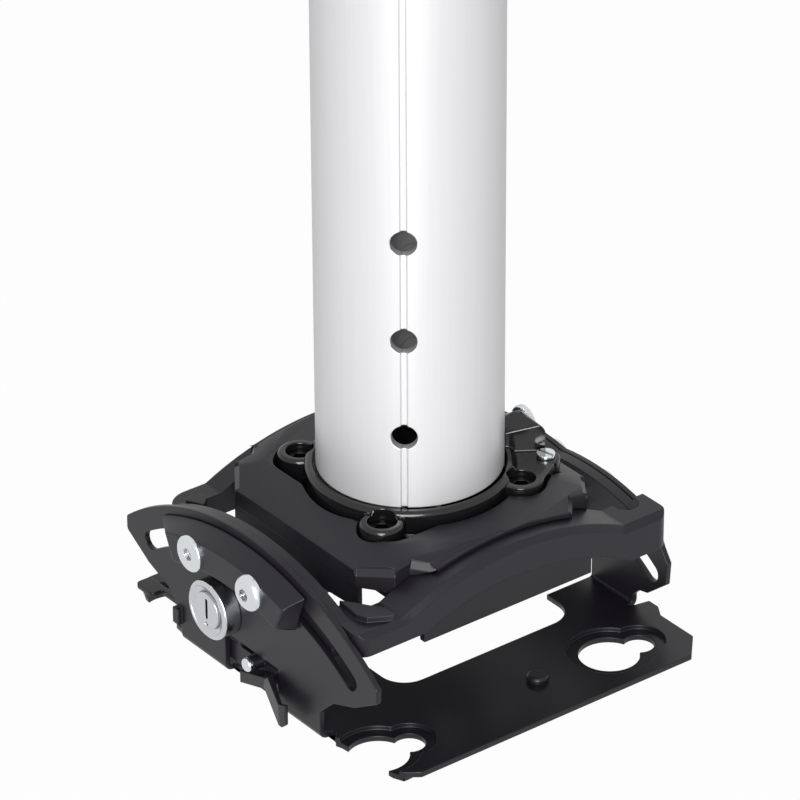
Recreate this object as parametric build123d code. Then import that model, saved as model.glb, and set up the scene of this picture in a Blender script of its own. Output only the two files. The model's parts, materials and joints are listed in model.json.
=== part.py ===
"""Projector ceiling mount: round column, yaw collar, roll platform and cradle, pitch bracket.

Millimetres, +Z up. The origin is on the column's axis, level with the collar's top edge.
+X looks along the lock side, +Y runs from the lock side to the far side.
"""
import os
from math import asin, cos, degrees, radians, sin, sqrt, tan

from build123d import *

# Clearances and a margin by which cutters pass a face
RUNNING = 0.05
SLIDING = 0.3
SEAT = 0.1
OVERRUN = 1.0

# Column: an aluminium extrusion with a groove, cross holes and four screw ports inside
COLUMN_OD = 60.0
COLUMN_WALL = 3.5
COLUMN_TOP = 205.0
GROOVE_ANGLE = -41.0
GROOVE_WIDTH = 2.0
GROOVE_DEPTH = 0.8
CROSS_HOLE_D = 8.3
CROSS_HOLE_FIRST = 25.0
CROSS_HOLE_PITCH = 34.0
CROSS_HOLE_COUNT = 3
PORT_OD = 8.0
PORT_BORE = 4.1
PORT_OVERLAP = 0.5

# Column foot: the ring that hangs the collar on the column
FOOT_THICKNESS = 3.6
FOOT_LEDGE = 1.8
FOOT_BORE = 37.0
FOOT_SCREW_LENGTH = 16.0
FOOT_SCREW_HEAD = 7.6

# Collar
COLLAR_SKEW = -6.7
COLUMN_GAP = 0.7
COLLAR_TOP = 0.0
COLLAR_WALL = 2.95
COLLAR_SHOULDER = -8.0
COLLAR_BASE = -12.0
BOSS_CIRCLE = 36.2
BOSS_OD = 14.4
BOSS_TOP = -1.7
BOSS_COUNT = 4
COLLAR_SCREW_D = 5.0
COLLAR_SCREW_HEAD = 8.5
COLLAR_SCREW_HEAD_HEIGHT = 3.5
COLLAR_SCREW_SINK = 2.3
COLLAR_NUT_FLATS = 8.0
COLLAR_NUT_HEIGHT = 4.0
PAD_THICKNESS = 4.9
PAD_SCREW_X = 18.8
PAD_SCREW_Y = 39.1
PAD_SCREW_BOSS = 9.2
PAD_SCREW_D = 3.0
HOUSING_LEFT = 3.5
HOUSING_CREST = 9.2
HOUSING_RIGHT = 15.7
HOUSING_FRONT = 29.0
HOUSING_BACK = 41.2
HOUSING_RISE = 10.0
HOUSING_SLOPE_RISE = 7.1
HOUSING_EDGE_R = 4.0

# Thumb screw that brakes the column's yaw
THUMB_D = 5.0
THUMB_HEIGHT = 0.0
THUMB_BOSS = 9.6
KNOB_D = 12.6
KNOB_THICKNESS = 2.4
KNOB_FLUTES = 28
KNOB_FLUTE_D = 0.9

# Platform: the casting that carries the collar and rides on the cradle's arched beams
PLATFORM_APEX = -4.0
PLATFORM_HALF_X = 48.3
PLATFORM_TOP_X = 43.5
PLATFORM_HALF_Y = 46.0
ROOF_FLAT_Y = 33.0
ROOF_DROP = 5.0
LIP_END_Y = 27.0
STEP_X = 6.3
STEP_Y = 5.5
STEP_RUN = 6.0
CORNER_X = 31.5
CREASE_NEAR_Y = 22.0
CREASE_X = 40.4
CREASE_RUN_X = 6.8
CREASE_RUN_Y = 10.4
FACET_TILT = 17.0
STRIP_INSET = 1.4
STRIP_DROP = 2.0
PLATFORM_FLOOR = 3.0
PLATFORM_WALL = 3.0
COLLAR_CHANNEL = 1.5
POCKET_MARGIN = 0.8
LIP_THICKNESS = 1.3
PILLAR_X = 33.5
PILLAR_Y = 10.0
PILLAR_OD = 12.0

# Roll: arched beams about an axis along X
BEAM_APEX = -5.7
ARCH_R = 101.0
BEAM_DEPTH = 10.6
BEAM_INNER_X = 41.5
BEAM_RIGHT_X = 55.0
BEAM_LEFT_X = -50.0
BEAM_WEB = 5.0
BEAM_DECK = 3.2
RELIEF_HALF_Y = 40.0
PAD_Y = 44.4
PAD_BEVEL = 2.0
LAND_HEIGHT = 2.0
LAND_INSET = 6.0
GUSSET_X = 34.0
FAR_POCKET_R = 4.2
FAR_POCKET_Y = 53.5
FAR_POCKET_DEPTH = 6.0
FAR_POCKET_REACH = 1.5
NEAR_CORNER_DEPTH = 8.0
FAR_CORNER_DEPTH = 13.0
CRADLE_CORNER_R = 4.5
CRADLE_LEFT_CORNER_R = 9.0
CRADLE_WALL = 4.0
NEAR_WALL_HALF_X = 46.0

# Roll clamp: the folded steel strap under the beams
STRAP_THICKNESS = 2.5
STRAP_RIGHT_X = 50.5
STRAP_LEFT_X = -48.0
STRAP_HALF_Y = 33.5
STRAP_BOTTOM = -30.7
STRAP_WEB_HALF_Y = 27.0
CABLE_HOLE_D = 40.0
ROLL_BOLT_D = 6.0
ROLL_BOLT_HEAD = 11.0
ROLL_BOLT_HEAD_HEIGHT = 3.6

# Pitch: slotted ears about an axis along Y
NEAR_SLOT_CREST = -15.4
SHEET = 2.0
BEND_R = 1.0
EAR_FACE_Y = 64.3
NEAR_SLOT_R = 94.4
NEAR_SLOT_WIDTH = 6.2
NEAR_SLOT_HALF = 34.1
NEAR_EAR_BAND = 10.6
NEAR_EAR_HALF_X = 66.2
NEAR_EAR_TIP_HEIGHT = 5.0
NEAR_WALL_RISE = 9.5
NEAR_WALL_DROP = 7.4
FAR_WALL_DROP = 8.5
FAR_SLOT_STEP = 13.8
FAR_SLOT_WIDTH = 6.4
FAR_SLOT_HALF = 34.8
FAR_TOP_R = 94.0
FAR_TOP_X = 14.5
FAR_TOP_CREST = -18.1
FAR_EAR_HALF_X = 46.0
NECK_HALF = 37.0
NECK_RISE = 7.5
LUG_OUT = 2.6
LUG_WIDTH = 3.2
LUG_LOW = -55.0
LUG_HEIGHT = 5.8
LUG_PROUD = 1.6

# Bottom plate with keyholes
PLATE_TOP = -59.5
PLATE_HALF_X = 72.8
PLATE_NEAR_Y = -58.0
PLATE_FAR_Y = 64.7
RIM_DROP = 1.5
KEYHOLE_X = 54.5
KEYHOLE_LARGE_D = 19.8
KEYHOLE_SMALL_D = 10.2
KEYHOLE_PITCH = 11.5
FAR_KEYHOLE_Y = 38.0
NEAR_KEYHOLE_Y = -55.0
RIM_WIDTH = 3.6
STUD_D = 7.2
STUD_HEIGHT = 2.4
STUD_X = 54.0
STUD_Y = 9.0
OPENING_HALF_X = 31.0
OPENING_NEAR_Y = -28.5
OPENING_FAR_Y = 43.5
OPENING_CORNER_R = 9.0
WINDOW_HALF_X = 16.0
WINDOW_TOP = -53.0

# Shoes and pitch screws
SHOE_DEPTH = 7.4
SHOE_RISE = 8.0
SHOE_DROP = 7.0
SHOE_LEFT = -45.6
SHOE_RIGHT = 31.0
SHOE_SLANT = 6.6
SHOE_RIGHT_SLANT = 5.0
SHOE_FACE_SLANT = 4.1
SHOE_TOP_BEVEL = 3.1
SHOE_LOW_BEVEL = 2.2
SHOE_LEFT_BEVEL = 12.0
SHOE_RIGHT_BEVEL = 2.2
FAR_SHOE_HALF_X = 27.0
FAR_SHOE_BAND = 6.0
FAR_SHOE_SLANT = 4.0
FAR_PILLAR_STEP = 4.0
PITCH_SCREW_D = 6.0
PITCH_SCREW_HEAD = 12.2
NEAR_SCREW_ANGLES = (-12.0, 7.5)
FAR_SCREW_ANGLES = (-9.0, 9.0)
FAR_SHOE_DEPTH = 5.0
NUT_FLATS = 10.0
NUT_HEIGHT = 3.2

# Key lock
LOCK_X = -14.0
LOCK_DROP = 21.1
LOCK_BEZEL_D = 20.2
LOCK_BEZEL_DEPTH = 6.5
LOCK_BODY_D = 17.6
LOCK_BODY_LENGTH = 8.3
LOCK_NUT_D = 21.0
PLUG_D = 12.4
CAM_LENGTH = 17.0
CAM_WIDTH = 8.0
CAM_THICKNESS = 2.0

# Latch slide behind the near ear
LATCH_LEFT = -36.0
LATCH_RIGHT = 20.0
LATCH_HEIGHT = 7.0
LATCH_LIFT = 2.5
LATCH_TAB_LEFT = -60.0
LATCH_TAB_LENGTH = 9.0
LATCH_TAB_REACH = 6.0
LATCH_ARM = 1.8
LATCH_STANDOFF = 2.1
LATCH_WINDOW_LEFT = -13.0
LATCH_WINDOW_RIGHT = 15.0
LATCH_WINDOW_TOP = -46.0
LATCH_BLOCK_LEFT = -2.5
LATCH_BLOCK_RIGHT = 11.0
LATCH_BLOCK_RISE = 4.1
LATCH_BLOCK_HEIGHT = 4.3
LATCH_RIVET_X = 2.6
LATCH_RIVET_D = 3.0
LATCH_RIVET_HEAD = 4.8
LATCH_STOP_RISE = 13.5
PULL_LEFT = 22.8
PULL_RIGHT = 26.4
PULL_SHEET = 1.3
PULL_REACH = 5.7
PULL_HEIGHT = 7.8

# Values worked out from the sizes above
column_r = COLUMN_OD / 2
column_bore_r = column_r - COLUMN_WALL
foot_top = COLLAR_SHOULDER - SEAT
foot_bottom = foot_top - FOOT_THICKNESS
foot_r = column_r + FOOT_LEDGE
port_circle = column_bore_r - PORT_OD / 2 + PORT_OVERLAP
collar_bore_r = column_r + COLUMN_GAP
collar_r = collar_bore_r + COLLAR_WALL
collar_base_r = foot_r + SLIDING + 2.1
floor_top = COLLAR_BASE
floor_bottom = floor_top - PLATFORM_FLOOR
roll_axis_z = BEAM_APEX - ARCH_R
pitch_axis_z = NEAR_SLOT_CREST - NEAR_SLOT_R
far_slot_r = NEAR_SLOT_R - FAR_SLOT_STEP
pad_level = roll_axis_z + sqrt(ARCH_R ** 2 - PAD_Y ** 2)
land_level = pad_level + LAND_HEIGHT
near_corner_bottom = pad_level - NEAR_CORNER_DEPTH
far_corner_bottom = pad_level - FAR_CORNER_DEPTH
far_top_z = FAR_TOP_CREST - FAR_TOP_R
far_top_meet = far_top_z + sqrt(FAR_TOP_R ** 2 - FAR_TOP_X ** 2)
lock_z = NEAR_SLOT_CREST - LOCK_DROP
lip_r = ARCH_R + SLIDING
beam_under_r = ARCH_R - BEAM_DEPTH
strap_r = beam_under_r - SLIDING
strap_web_top = STRAP_BOTTOM + STRAP_THICKNESS
ear_inner_y = EAR_FACE_Y - SHEET
wall_outer_y = ear_inner_y - SLIDING - SEAT
wall_inner_y = wall_outer_y - CRADLE_WALL
plate_bottom = PLATE_TOP - SHEET
bend_y = ear_inner_y - BEND_R
bend_z = PLATE_TOP + BEND_R
shoe_back_y = EAR_FACE_Y + SLIDING
shoe_face_y = shoe_back_y + SHOE_DEPTH
knob_face_y = HOUSING_BACK + SLIDING
latch_low = PLATE_TOP + LATCH_LIFT
latch_high = latch_low + LATCH_HEIGHT
latch_back_y = SLIDING - ear_inner_y
latch_front_y = -EAR_FACE_Y - LATCH_STANDOFF
latch_rivet_z = latch_high + SLIDING
MIN3 = (Align.CENTER, Align.CENTER, Align.MIN)


# Shape helpers
def rod(radius, z0, z1, x=0.0, y=0.0):
    """Upright cylinder from z0 to z1."""
    return Pos(x, y, z0) * Cylinder(radius, z1 - z0, align=MIN3)


def rod_y(radius, y0, y1, x=0.0, z=0.0):
    """Cylinder along Y from y0 to y1."""
    return Pos(x, y1, z) * Rot(90, 0, 0) * Cylinder(radius, y1 - y0, align=MIN3)


def slab_x(sketch, x0, x1):
    """Profile drawn in (y, z), given the thickness x0 to x1."""
    return extrude(Plane.YZ.offset(x0) * sketch, x1 - x0)


def slab_y(sketch, y0, y1):
    """Profile drawn in (x, z), given the thickness y0 to y1."""
    return extrude(Plane.XZ.offset(-y1) * sketch, y1 - y0)


def slab_z(sketch, z0, z1):
    """Outline drawn in (x, y), given the height z0 to z1."""
    return extrude(Plane.XY.offset(z0) * sketch, z1 - z0)


def outline(*points):
    """Closed face through the given corners."""
    return Polygon(*points, align=None)


def disc(radius, x=0.0, y=0.0):
    """Round face centred on (x, y)."""
    return Pos(x, y) * Circle(radius)


def sector(centre, r0, r1, start, end):
    """Part of a ring between two radii and two angles, in degrees from the first axis."""
    outer = CenterArc(centre, r1, start, end - start)
    inner = CenterArc(centre, r0, start, end - start)
    return make_face([outer, Line(outer @ 1, inner @ 1), inner, Line(inner @ 0, outer @ 0)])


def on_arc(radius, x, centre_z):
    """Height of an arc about (0, centre_z) at the offset x."""
    return centre_z + sqrt(radius ** 2 - x ** 2)


def hex_prism(flats, z0, z1):
    """Upright hexagonal prism of the given width over flats."""
    return slab_z(RegularPolygon(flats / 2, 6, major_radius=False), z0, z1)


def turned(shape):
    """Turn a shape by the collar's skew against the platform."""
    return Rot(0, 0, COLLAR_SKEW) * shape


def boss_points():
    """Centres of the collar's bosses, before the skew."""
    first = 45.0
    step = 360.0 / BOSS_COUNT
    angles = [radians(first + step * i) for i in range(BOSS_COUNT)]
    return [(BOSS_CIRCLE * cos(a), BOSS_CIRCLE * sin(a)) for a in angles]


# Column group
def port_points():
    """Centres of the column's inner screw ports, clear of the cross holes."""
    angles = [radians(GROOVE_ANGLE + 45.0 + 90.0 * i) for i in range(4)]
    return [(port_circle * cos(a), port_circle * sin(a)) for a in angles]


def make_column():
    tube = rod(column_r, foot_top, COLUMN_TOP) - rod(column_bore_r, foot_top, COLUMN_TOP)
    for x, y in port_points():
        tube += rod(PORT_OD / 2, foot_top, COLUMN_TOP, x, y)
    for x, y in port_points():
        tube -= rod(PORT_BORE / 2, foot_top, COLUMN_TOP, x, y)
    height = COLUMN_TOP - foot_top
    groove = Box(2 * GROOVE_DEPTH, GROOVE_WIDTH, height, align=MIN3)
    tube -= Rot(0, 0, GROOVE_ANGLE) * Pos(column_r, 0, foot_top) * groove
    for i in range(CROSS_HOLE_COUNT):
        level = CROSS_HOLE_FIRST + CROSS_HOLE_PITCH * i
        drill = Pos(0, 0, level) * Rot(0, 90, 0) * Cylinder(CROSS_HOLE_D / 2, 1.2 * COLUMN_OD)
        tube -= Rot(0, 0, GROOVE_ANGLE) * drill
    return tube


def foot_screw(x, y, grow=0.0):
    """Countersunk screw whose flat head ends level with the foot's underside."""
    shank_r = PORT_BORE / 2 - RUNNING + grow
    head_r = FOOT_SCREW_HEAD / 2 + grow
    sink = head_r - shank_r
    tip = foot_bottom + FOOT_SCREW_LENGTH
    cone = Pos(x, y, foot_bottom) * Cone(head_r, shank_r, sink, align=MIN3)
    return cone + rod(shank_r, foot_bottom, tip, x, y)


def make_column_foot():
    ring = rod(foot_r, foot_bottom, foot_top) - rod(FOOT_BORE / 2, foot_bottom, foot_top)
    for x, y in port_points():
        ring -= foot_screw(x, y, RUNNING)
    return ring


def make_foot_screws():
    socket_depth = 1.4
    screws = []
    for x, y in port_points():
        socket = hex_prism(2.5, foot_bottom, foot_bottom + socket_depth)
        screws.append(foot_screw(x, y) - Pos(x, y) * socket)
    return Compound(children=screws)


# Collar group
def pad_outline(margin=0.0):
    """Flat pad that joins one boss, the small screw and the thumb screw housing."""
    boss_x, boss_y = boss_points()[0]
    small_r = PAD_SCREW_BOSS / 2 + margin
    face = disc(BOSS_OD / 2 + margin, boss_x, boss_y) + disc(small_r, PAD_SCREW_X, PAD_SCREW_Y)
    reach = PAD_SCREW_BOSS / 2 + margin
    face += outline(
        (8.0 - margin, 28.0),
        (boss_x, boss_y - 2.0),
        (boss_x + 5.4 + margin, boss_y + 4.2),
        (PAD_SCREW_X + reach, PAD_SCREW_Y),
        (PAD_SCREW_X, PAD_SCREW_Y + reach),
        (8.0 - margin, PAD_SCREW_Y + 0.4 + margin),
    )
    return face


def housing():
    """Raised housing beside the thumb screw: a slanted block with a sloping top."""
    base = outline(
        (HOUSING_LEFT, HOUSING_FRONT),
        (HOUSING_CREST, HOUSING_FRONT),
        (HOUSING_RIGHT, HOUSING_BACK),
        (HOUSING_LEFT, HOUSING_BACK),
    )
    block = slab_z(base, BOSS_TOP - OVERRUN, BOSS_TOP + HOUSING_RISE)
    back_edges = block.edges().filter_by(Axis.X).group_by(Axis.Y)[-1].sort_by(Axis.Z)
    block = fillet(back_edges[-1], HOUSING_EDGE_R)
    corner = (HOUSING_CREST, HOUSING_FRONT + 1.2, BOSS_TOP + HOUSING_SLOPE_RISE)
    slope = Plane(origin=corner, x_dir=(0.5, 0.85, 0.3), z_dir=(0.18, -0.35, 1.0))
    return split(block, slope, keep=Keep.BOTTOM)


def make_collar():
    bore_top = BOSS_TOP + 2 * HOUSING_RISE
    body = rod(collar_r, COLLAR_BASE, COLLAR_TOP) + rod(collar_base_r, COLLAR_BASE, COLLAR_SHOULDER)
    rim = body.edges().filter_by(GeomType.CIRCLE).group_by(Axis.Z)[-1]
    body = chamfer(rim, 1.0)
    for x, y in boss_points():
        boss = rod(BOSS_OD / 2, COLLAR_BASE, BOSS_TOP, x, y)
        boss = chamfer(boss.edges().group_by(Axis.Z)[-1], 0.8)
        body += boss
    body += slab_z(pad_outline(), BOSS_TOP - PAD_THICKNESS, BOSS_TOP)
    body += housing()
    body += rod_y(THUMB_BOSS / 2, collar_bore_r, HOUSING_BACK, 0, THUMB_HEIGHT)
    body -= rod(collar_bore_r, COLLAR_BASE, bore_top)
    body -= rod(foot_r + RUNNING, COLLAR_BASE, COLLAR_SHOULDER)
    seat = screw_head_bottom()
    for x, y in boss_points():
        body -= rod(COLLAR_SCREW_HEAD / 2 + SLIDING, seat, bore_top, x, y)
        body -= rod(COLLAR_SCREW_D / 2 + RUNNING, COLLAR_BASE, seat, x, y)
    body -= rod(PAD_SCREW_D / 2 + RUNNING, COLLAR_BASE, bore_top, PAD_SCREW_X, PAD_SCREW_Y)
    body -= rod_y(THUMB_D / 2 + RUNNING, 0, HOUSING_BACK, 0, THUMB_HEIGHT)
    return turned(body)


def screw_head_bottom():
    """Level where the collar screws' heads seat in their bosses."""
    return BOSS_TOP - COLLAR_SCREW_SINK - COLLAR_SCREW_HEAD_HEIGHT


def make_collar_screws():
    seat = screw_head_bottom()
    head_top = seat + COLLAR_SCREW_HEAD_HEIGHT
    nut_bottom = floor_bottom - COLLAR_NUT_HEIGHT
    screws = []
    for x, y in boss_points():
        screw = rod(COLLAR_SCREW_HEAD / 2, seat, head_top, x, y)
        screw += rod(COLLAR_SCREW_D / 2, nut_bottom - 1.5, seat, x, y)
        screw -= Pos(x, y) * hex_prism(4.0, head_top - 2.0, head_top)
        screws.append(turned(screw))
    return Compound(children=screws)


def make_collar_nuts():
    nuts = []
    for x, y in boss_points():
        nut = hex_prism(COLLAR_NUT_FLATS, floor_bottom - COLLAR_NUT_HEIGHT, floor_bottom)
        nut -= rod(COLLAR_SCREW_D / 2 + RUNNING, floor_bottom - COLLAR_NUT_HEIGHT, floor_bottom)
        nuts.append(turned(Pos(x, y) * nut))
    return Compound(children=nuts)


def make_pad_screw():
    head = Pos(PAD_SCREW_X, PAD_SCREW_Y, BOSS_TOP) * Sphere(3.4)
    head &= rod(3.0, BOSS_TOP, BOSS_TOP + 1.5, PAD_SCREW_X, PAD_SCREW_Y)
    shank = rod(PAD_SCREW_D / 2, BOSS_TOP - 9.0, BOSS_TOP, PAD_SCREW_X, PAD_SCREW_Y)
    slot = Pos(PAD_SCREW_X, PAD_SCREW_Y, BOSS_TOP + 1.5) * Rot(0, 0, 20) * Box(6.0, 0.8, 1.4)
    return turned(head + shank - slot)


def make_thumb_knob():
    """Knurled knob on a threaded stem whose tip stops at the collar's bore."""
    knob = rod_y(KNOB_D / 2, knob_face_y, knob_face_y + KNOB_THICKNESS, 0, THUMB_HEIGHT)
    rims = knob.edges().filter_by(GeomType.CIRCLE)
    knob = chamfer(rims, 0.4)
    recess_r = KNOB_D / 2 - 2.2
    knob -= rod_y(recess_r, knob_face_y + KNOB_THICKNESS - 0.8, knob_face_y + KNOB_THICKNESS + 1.0)
    for i in range(KNOB_FLUTES):
        angle = radians(360.0 * i / KNOB_FLUTES)
        x = KNOB_D / 2 * cos(angle)
        z = THUMB_HEIGHT + KNOB_D / 2 * sin(angle)
        knob -= rod_y(KNOB_FLUTE_D / 2, knob_face_y, knob_face_y + KNOB_THICKNESS, x, z)
    stem = rod_y(THUMB_D / 2, collar_bore_r, knob_face_y + KNOB_THICKNESS / 2, 0, THUMB_HEIGHT)
    return turned(knob + stem)


# Platform group
def platform_outline():
    """Quarter outline mirrored twice: stepped corners like the casting's."""
    half_x = PLATFORM_HALF_X
    corner = [
        (half_x, 0.0),
        (half_x, LIP_END_Y),
        (half_x - STEP_X, LIP_END_Y + STEP_Y),
        (half_x - STEP_X, LIP_END_Y + STEP_Y + STEP_RUN),
        (CORNER_X, PLATFORM_HALF_Y),
        (0.0, PLATFORM_HALF_Y),
    ]
    right = make_face(Polyline(*corner, (0.0, 0.0), close=True))
    top = right + mirror(right, about=Plane.YZ)
    return top + mirror(top, about=Plane.XZ)


def four_ways(shape):
    """A shape of the +X, +Y corner with its three mirror images."""
    pair = shape + mirror(shape, about=Plane.YZ)
    return pair + mirror(pair, about=Plane.XZ)


def end_slopes():
    """Wedges above the sloping ends of the platform's top."""
    reach = PLATFORM_HALF_Y - ROOF_FLAT_Y
    low = PLATFORM_APEX - 2 * ROOF_DROP
    wedge = outline(
        (ROOF_FLAT_Y, PLATFORM_APEX),
        (ROOF_FLAT_Y + 2 * reach, low),
        (ROOF_FLAT_Y + 2 * reach, PLATFORM_APEX + OVERRUN),
        (ROOF_FLAT_Y, PLATFORM_APEX + OVERRUN),
    )
    far = slab_x(wedge, -PLATFORM_HALF_X - OVERRUN, PLATFORM_HALF_X + OVERRUN)
    return far + mirror(far, about=Plane.XZ)


def facet_cut():
    """Block above the tilted facet of one corner, past the crease across the corner."""
    outward = Vector(CREASE_RUN_Y, CREASE_RUN_X, 0)
    tilt = Plane(origin=(CREASE_X, CREASE_NEAR_Y, PLATFORM_APEX), x_dir=outward, z_dir=(0, 0, 1))
    size = 2 * PLATFORM_HALF_Y
    block = Box(size, size, size, align=(Align.MIN, Align.CENTER, Align.MIN))
    return tilt * (Rot(0, FACET_TILT, 0) * block)


def facet_drop(x, y):
    """Depth of the corner facet under the platform's apex at a point of the outline."""
    run = sqrt(CREASE_RUN_X ** 2 + CREASE_RUN_Y ** 2)
    past = ((x - CREASE_X) * CREASE_RUN_Y + (y - CREASE_NEAR_Y) * CREASE_RUN_X) / run
    return past * tan(radians(FACET_TILT))


def bright_strip(x0, y0, drop0, x1, y1, drop1):
    """Wedge that bevels the top edge over the outline's slanted side from (x0, y0) to (x1, y1)."""
    run = Vector(x1 - x0, y1 - y0, drop0 - drop1)
    outward = Vector(y1 - y0, x0 - x1, 0)
    frame = Plane(origin=(x0, y0, PLATFORM_APEX - drop0), x_dir=outward, z_dir=run)
    profile = outline(
        (-STRIP_INSET, 0.0),
        (-STRIP_INSET, -3 * OVERRUN),
        (3 * OVERRUN, -3 * OVERRUN),
        (3 * OVERRUN, STRIP_DROP),
        (0.0, STRIP_DROP),
    )
    return extrude(frame * profile, run.length)


def corner_strips():
    """Both bevels of one corner."""
    half_x = PLATFORM_HALF_X
    step_y = LIP_END_Y + STEP_Y
    inner_x = half_x - STEP_X
    corner_y = step_y + STEP_RUN
    lip = bright_strip(
        half_x, LIP_END_Y, facet_drop(half_x, LIP_END_Y), inner_x, step_y, facet_drop(inner_x, step_y)
    )
    end = bright_strip(
        inner_x, corner_y, facet_drop(inner_x, corner_y), CORNER_X, PLATFORM_HALF_Y, ROOF_DROP
    )
    return lip + end


def lip_cut():
    """Region above the lip, outside the concave side wall, turned about the roll axis."""
    low = lip_r + LIP_THICKNESS
    profile = make_face(
        [
            Line((PLATFORM_HALF_X + 5, low), (PLATFORM_HALF_X - 1.2, low)),
            RadiusArc((PLATFORM_HALF_X - 1.2, low), (PLATFORM_TOP_X, low + 5.5), 7.0),
            Line((PLATFORM_TOP_X, low + 5.5), (PLATFORM_TOP_X - 0.4, low + 25)),
            Line((PLATFORM_TOP_X - 0.4, low + 25), (PLATFORM_HALF_X + 5, low + 25)),
            Line((PLATFORM_HALF_X + 5, low + 25), (PLATFORM_HALF_X + 5, low)),
        ]
    )
    upright = Plane(origin=(0, 0, roll_axis_z), x_dir=(1, 0, 0), z_dir=(0, -1, 0))
    spun = revolve(upright * profile, Axis((0, 0, roll_axis_z), (1, 0, 0)), 90)
    return spun


def boss_pocket(angle):
    """Comma-shaped pocket round one boss, tapering into the collar's channel."""
    wide = BOSS_OD / 2 + POCKET_MARGIN
    start = radians(angle)
    mid = radians(angle + 4.0)
    tail = radians(angle + 27.0)
    tail_r = collar_r + COLLAR_CHANNEL - 4.0
    a = disc(wide, BOSS_CIRCLE * cos(start), BOSS_CIRCLE * sin(start))
    b = disc(wide, BOSS_CIRCLE * cos(mid), BOSS_CIRCLE * sin(mid))
    c = disc(4.0, tail_r * cos(tail), tail_r * sin(tail))
    return make_hull((a + b + c).edges())


def make_platform():
    top_level = PLATFORM_APEX
    body = slab_z(platform_outline(), floor_bottom, top_level)
    body -= end_slopes()
    body -= four_ways(facet_cut())
    body -= four_ways(corner_strips())
    cut = lip_cut()
    body -= cut
    body -= mirror(cut, about=Plane.YZ)
    # room for the cradle's beams under both lips
    arch = Pos(0, 0, roll_axis_z) * Rot(0, 90, 0) * Cylinder(lip_r, 30.0)
    inner = BEAM_INNER_X - SLIDING
    body -= Pos(inner + 15.0, 0, 0) * arch
    body -= Pos(-inner - 15.0, 0, 0) * arch
    # collar seat, boss pockets and pad recess
    seat = rod(collar_r + COLLAR_CHANNEL, floor_top, 0.0)
    for i in range(BOSS_COUNT):
        angle = 45.0 + 360.0 / BOSS_COUNT * i + COLLAR_SKEW
        seat += slab_z(boss_pocket(angle), floor_top, 0.0)
    pad_floor = BOSS_TOP - PAD_THICKNESS - SEAT
    seat += turned(slab_z(pad_outline(POCKET_MARGIN), pad_floor, 0.0))
    seat += turned(rod_y(THUMB_BOSS / 2 + POCKET_MARGIN, 30.0, HOUSING_BACK + 6.0, 0, THUMB_HEIGHT))
    seat += turned(rod_y(KNOB_D / 2 + POCKET_MARGIN, HOUSING_BACK, PLATFORM_HALF_Y + 5.0))
    body -= seat
    body -= rod(foot_r - 3.8, floor_bottom, floor_top)
    # hollow corners underneath
    for sx in (-1, 1):
        for sy in (-1, 1):
            body -= corner_hollow(sx, sy)
    # pillars that carry the roll clamp
    for x, y in strap_bolt_points():
        body += rod(PILLAR_OD / 2, strap_web_top, floor_bottom + 1.0, x, y)
        body -= rod(ROLL_BOLT_D / 2 + RUNNING, strap_web_top, floor_bottom + 0.5, x, y)
    for x, y in boss_points():
        body -= turned(rod(COLLAR_SCREW_D / 2 + RUNNING, floor_bottom, floor_top, x, y))
    screw_tip = BOSS_TOP - 9.0
    body -= turned(rod(PAD_SCREW_D / 2 + RUNNING, screw_tip, 0.0, PAD_SCREW_X, PAD_SCREW_Y))
    return body


def corner_hollow(sx, sy):
    """Recess cast into the underside of one corner."""
    outer_x = BEAM_INNER_X - SLIDING - PLATFORM_WALL
    outer_y = PLATFORM_HALF_Y - PLATFORM_WALL
    face = outline((14.0, outer_y), (26.0, outer_y), (outer_x, 35.0), (outer_x, 26.0))
    block = slab_z(face, floor_bottom, floor_bottom + 3.2)
    if sx < 0:
        block = mirror(block, about=Plane.YZ)
    if sy < 0:
        block = mirror(block, about=Plane.XZ)
    return block


def strap_bolt_points():
    return [(sx * PILLAR_X, sy * PILLAR_Y) for sx in (-1, 1) for sy in (-1, 1)]


def make_roll_clamp():
    """Folded strap: a flat web with an arched upright at each end."""
    arch_y = STRAP_HALF_Y
    side_z = on_arc(strap_r, arch_y, roll_axis_z)
    apex = roll_axis_z + strap_r
    upright = make_face(
        [
            Line((-arch_y, STRAP_BOTTOM), (arch_y, STRAP_BOTTOM)),
            Line((arch_y, STRAP_BOTTOM), (arch_y, side_z)),
            ThreePointArc((arch_y, side_z), (0, apex), (-arch_y, side_z)),
            Line((-arch_y, side_z), (-arch_y, STRAP_BOTTOM)),
        ]
    )
    right = slab_x(upright, STRAP_RIGHT_X - STRAP_THICKNESS, STRAP_RIGHT_X)
    left = slab_x(upright, STRAP_LEFT_X, STRAP_LEFT_X + STRAP_THICKNESS)
    middle = (STRAP_RIGHT_X + STRAP_LEFT_X) / 2
    web_face = Pos(middle, 0) * Rectangle(STRAP_RIGHT_X - STRAP_LEFT_X, 2 * STRAP_WEB_HALF_Y)
    body = slab_z(web_face, STRAP_BOTTOM, strap_web_top) + right + left
    body -= rod(CABLE_HOLE_D / 2, STRAP_BOTTOM, strap_web_top)
    for x, y in strap_bolt_points():
        body -= rod(ROLL_BOLT_D / 2 + RUNNING, STRAP_BOTTOM, strap_web_top, x, y)
    return body


def make_roll_bolts():
    bolts = []
    tip = floor_bottom - 0.5
    for x, y in strap_bolt_points():
        head = hex_prism(ROLL_BOLT_HEAD, STRAP_BOTTOM - ROLL_BOLT_HEAD_HEIGHT, STRAP_BOTTOM)
        bolt = Pos(x, y) * head + rod(ROLL_BOLT_D / 2, STRAP_BOTTOM, tip, x, y)
        bolts.append(bolt)
    return Compound(children=bolts)


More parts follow.
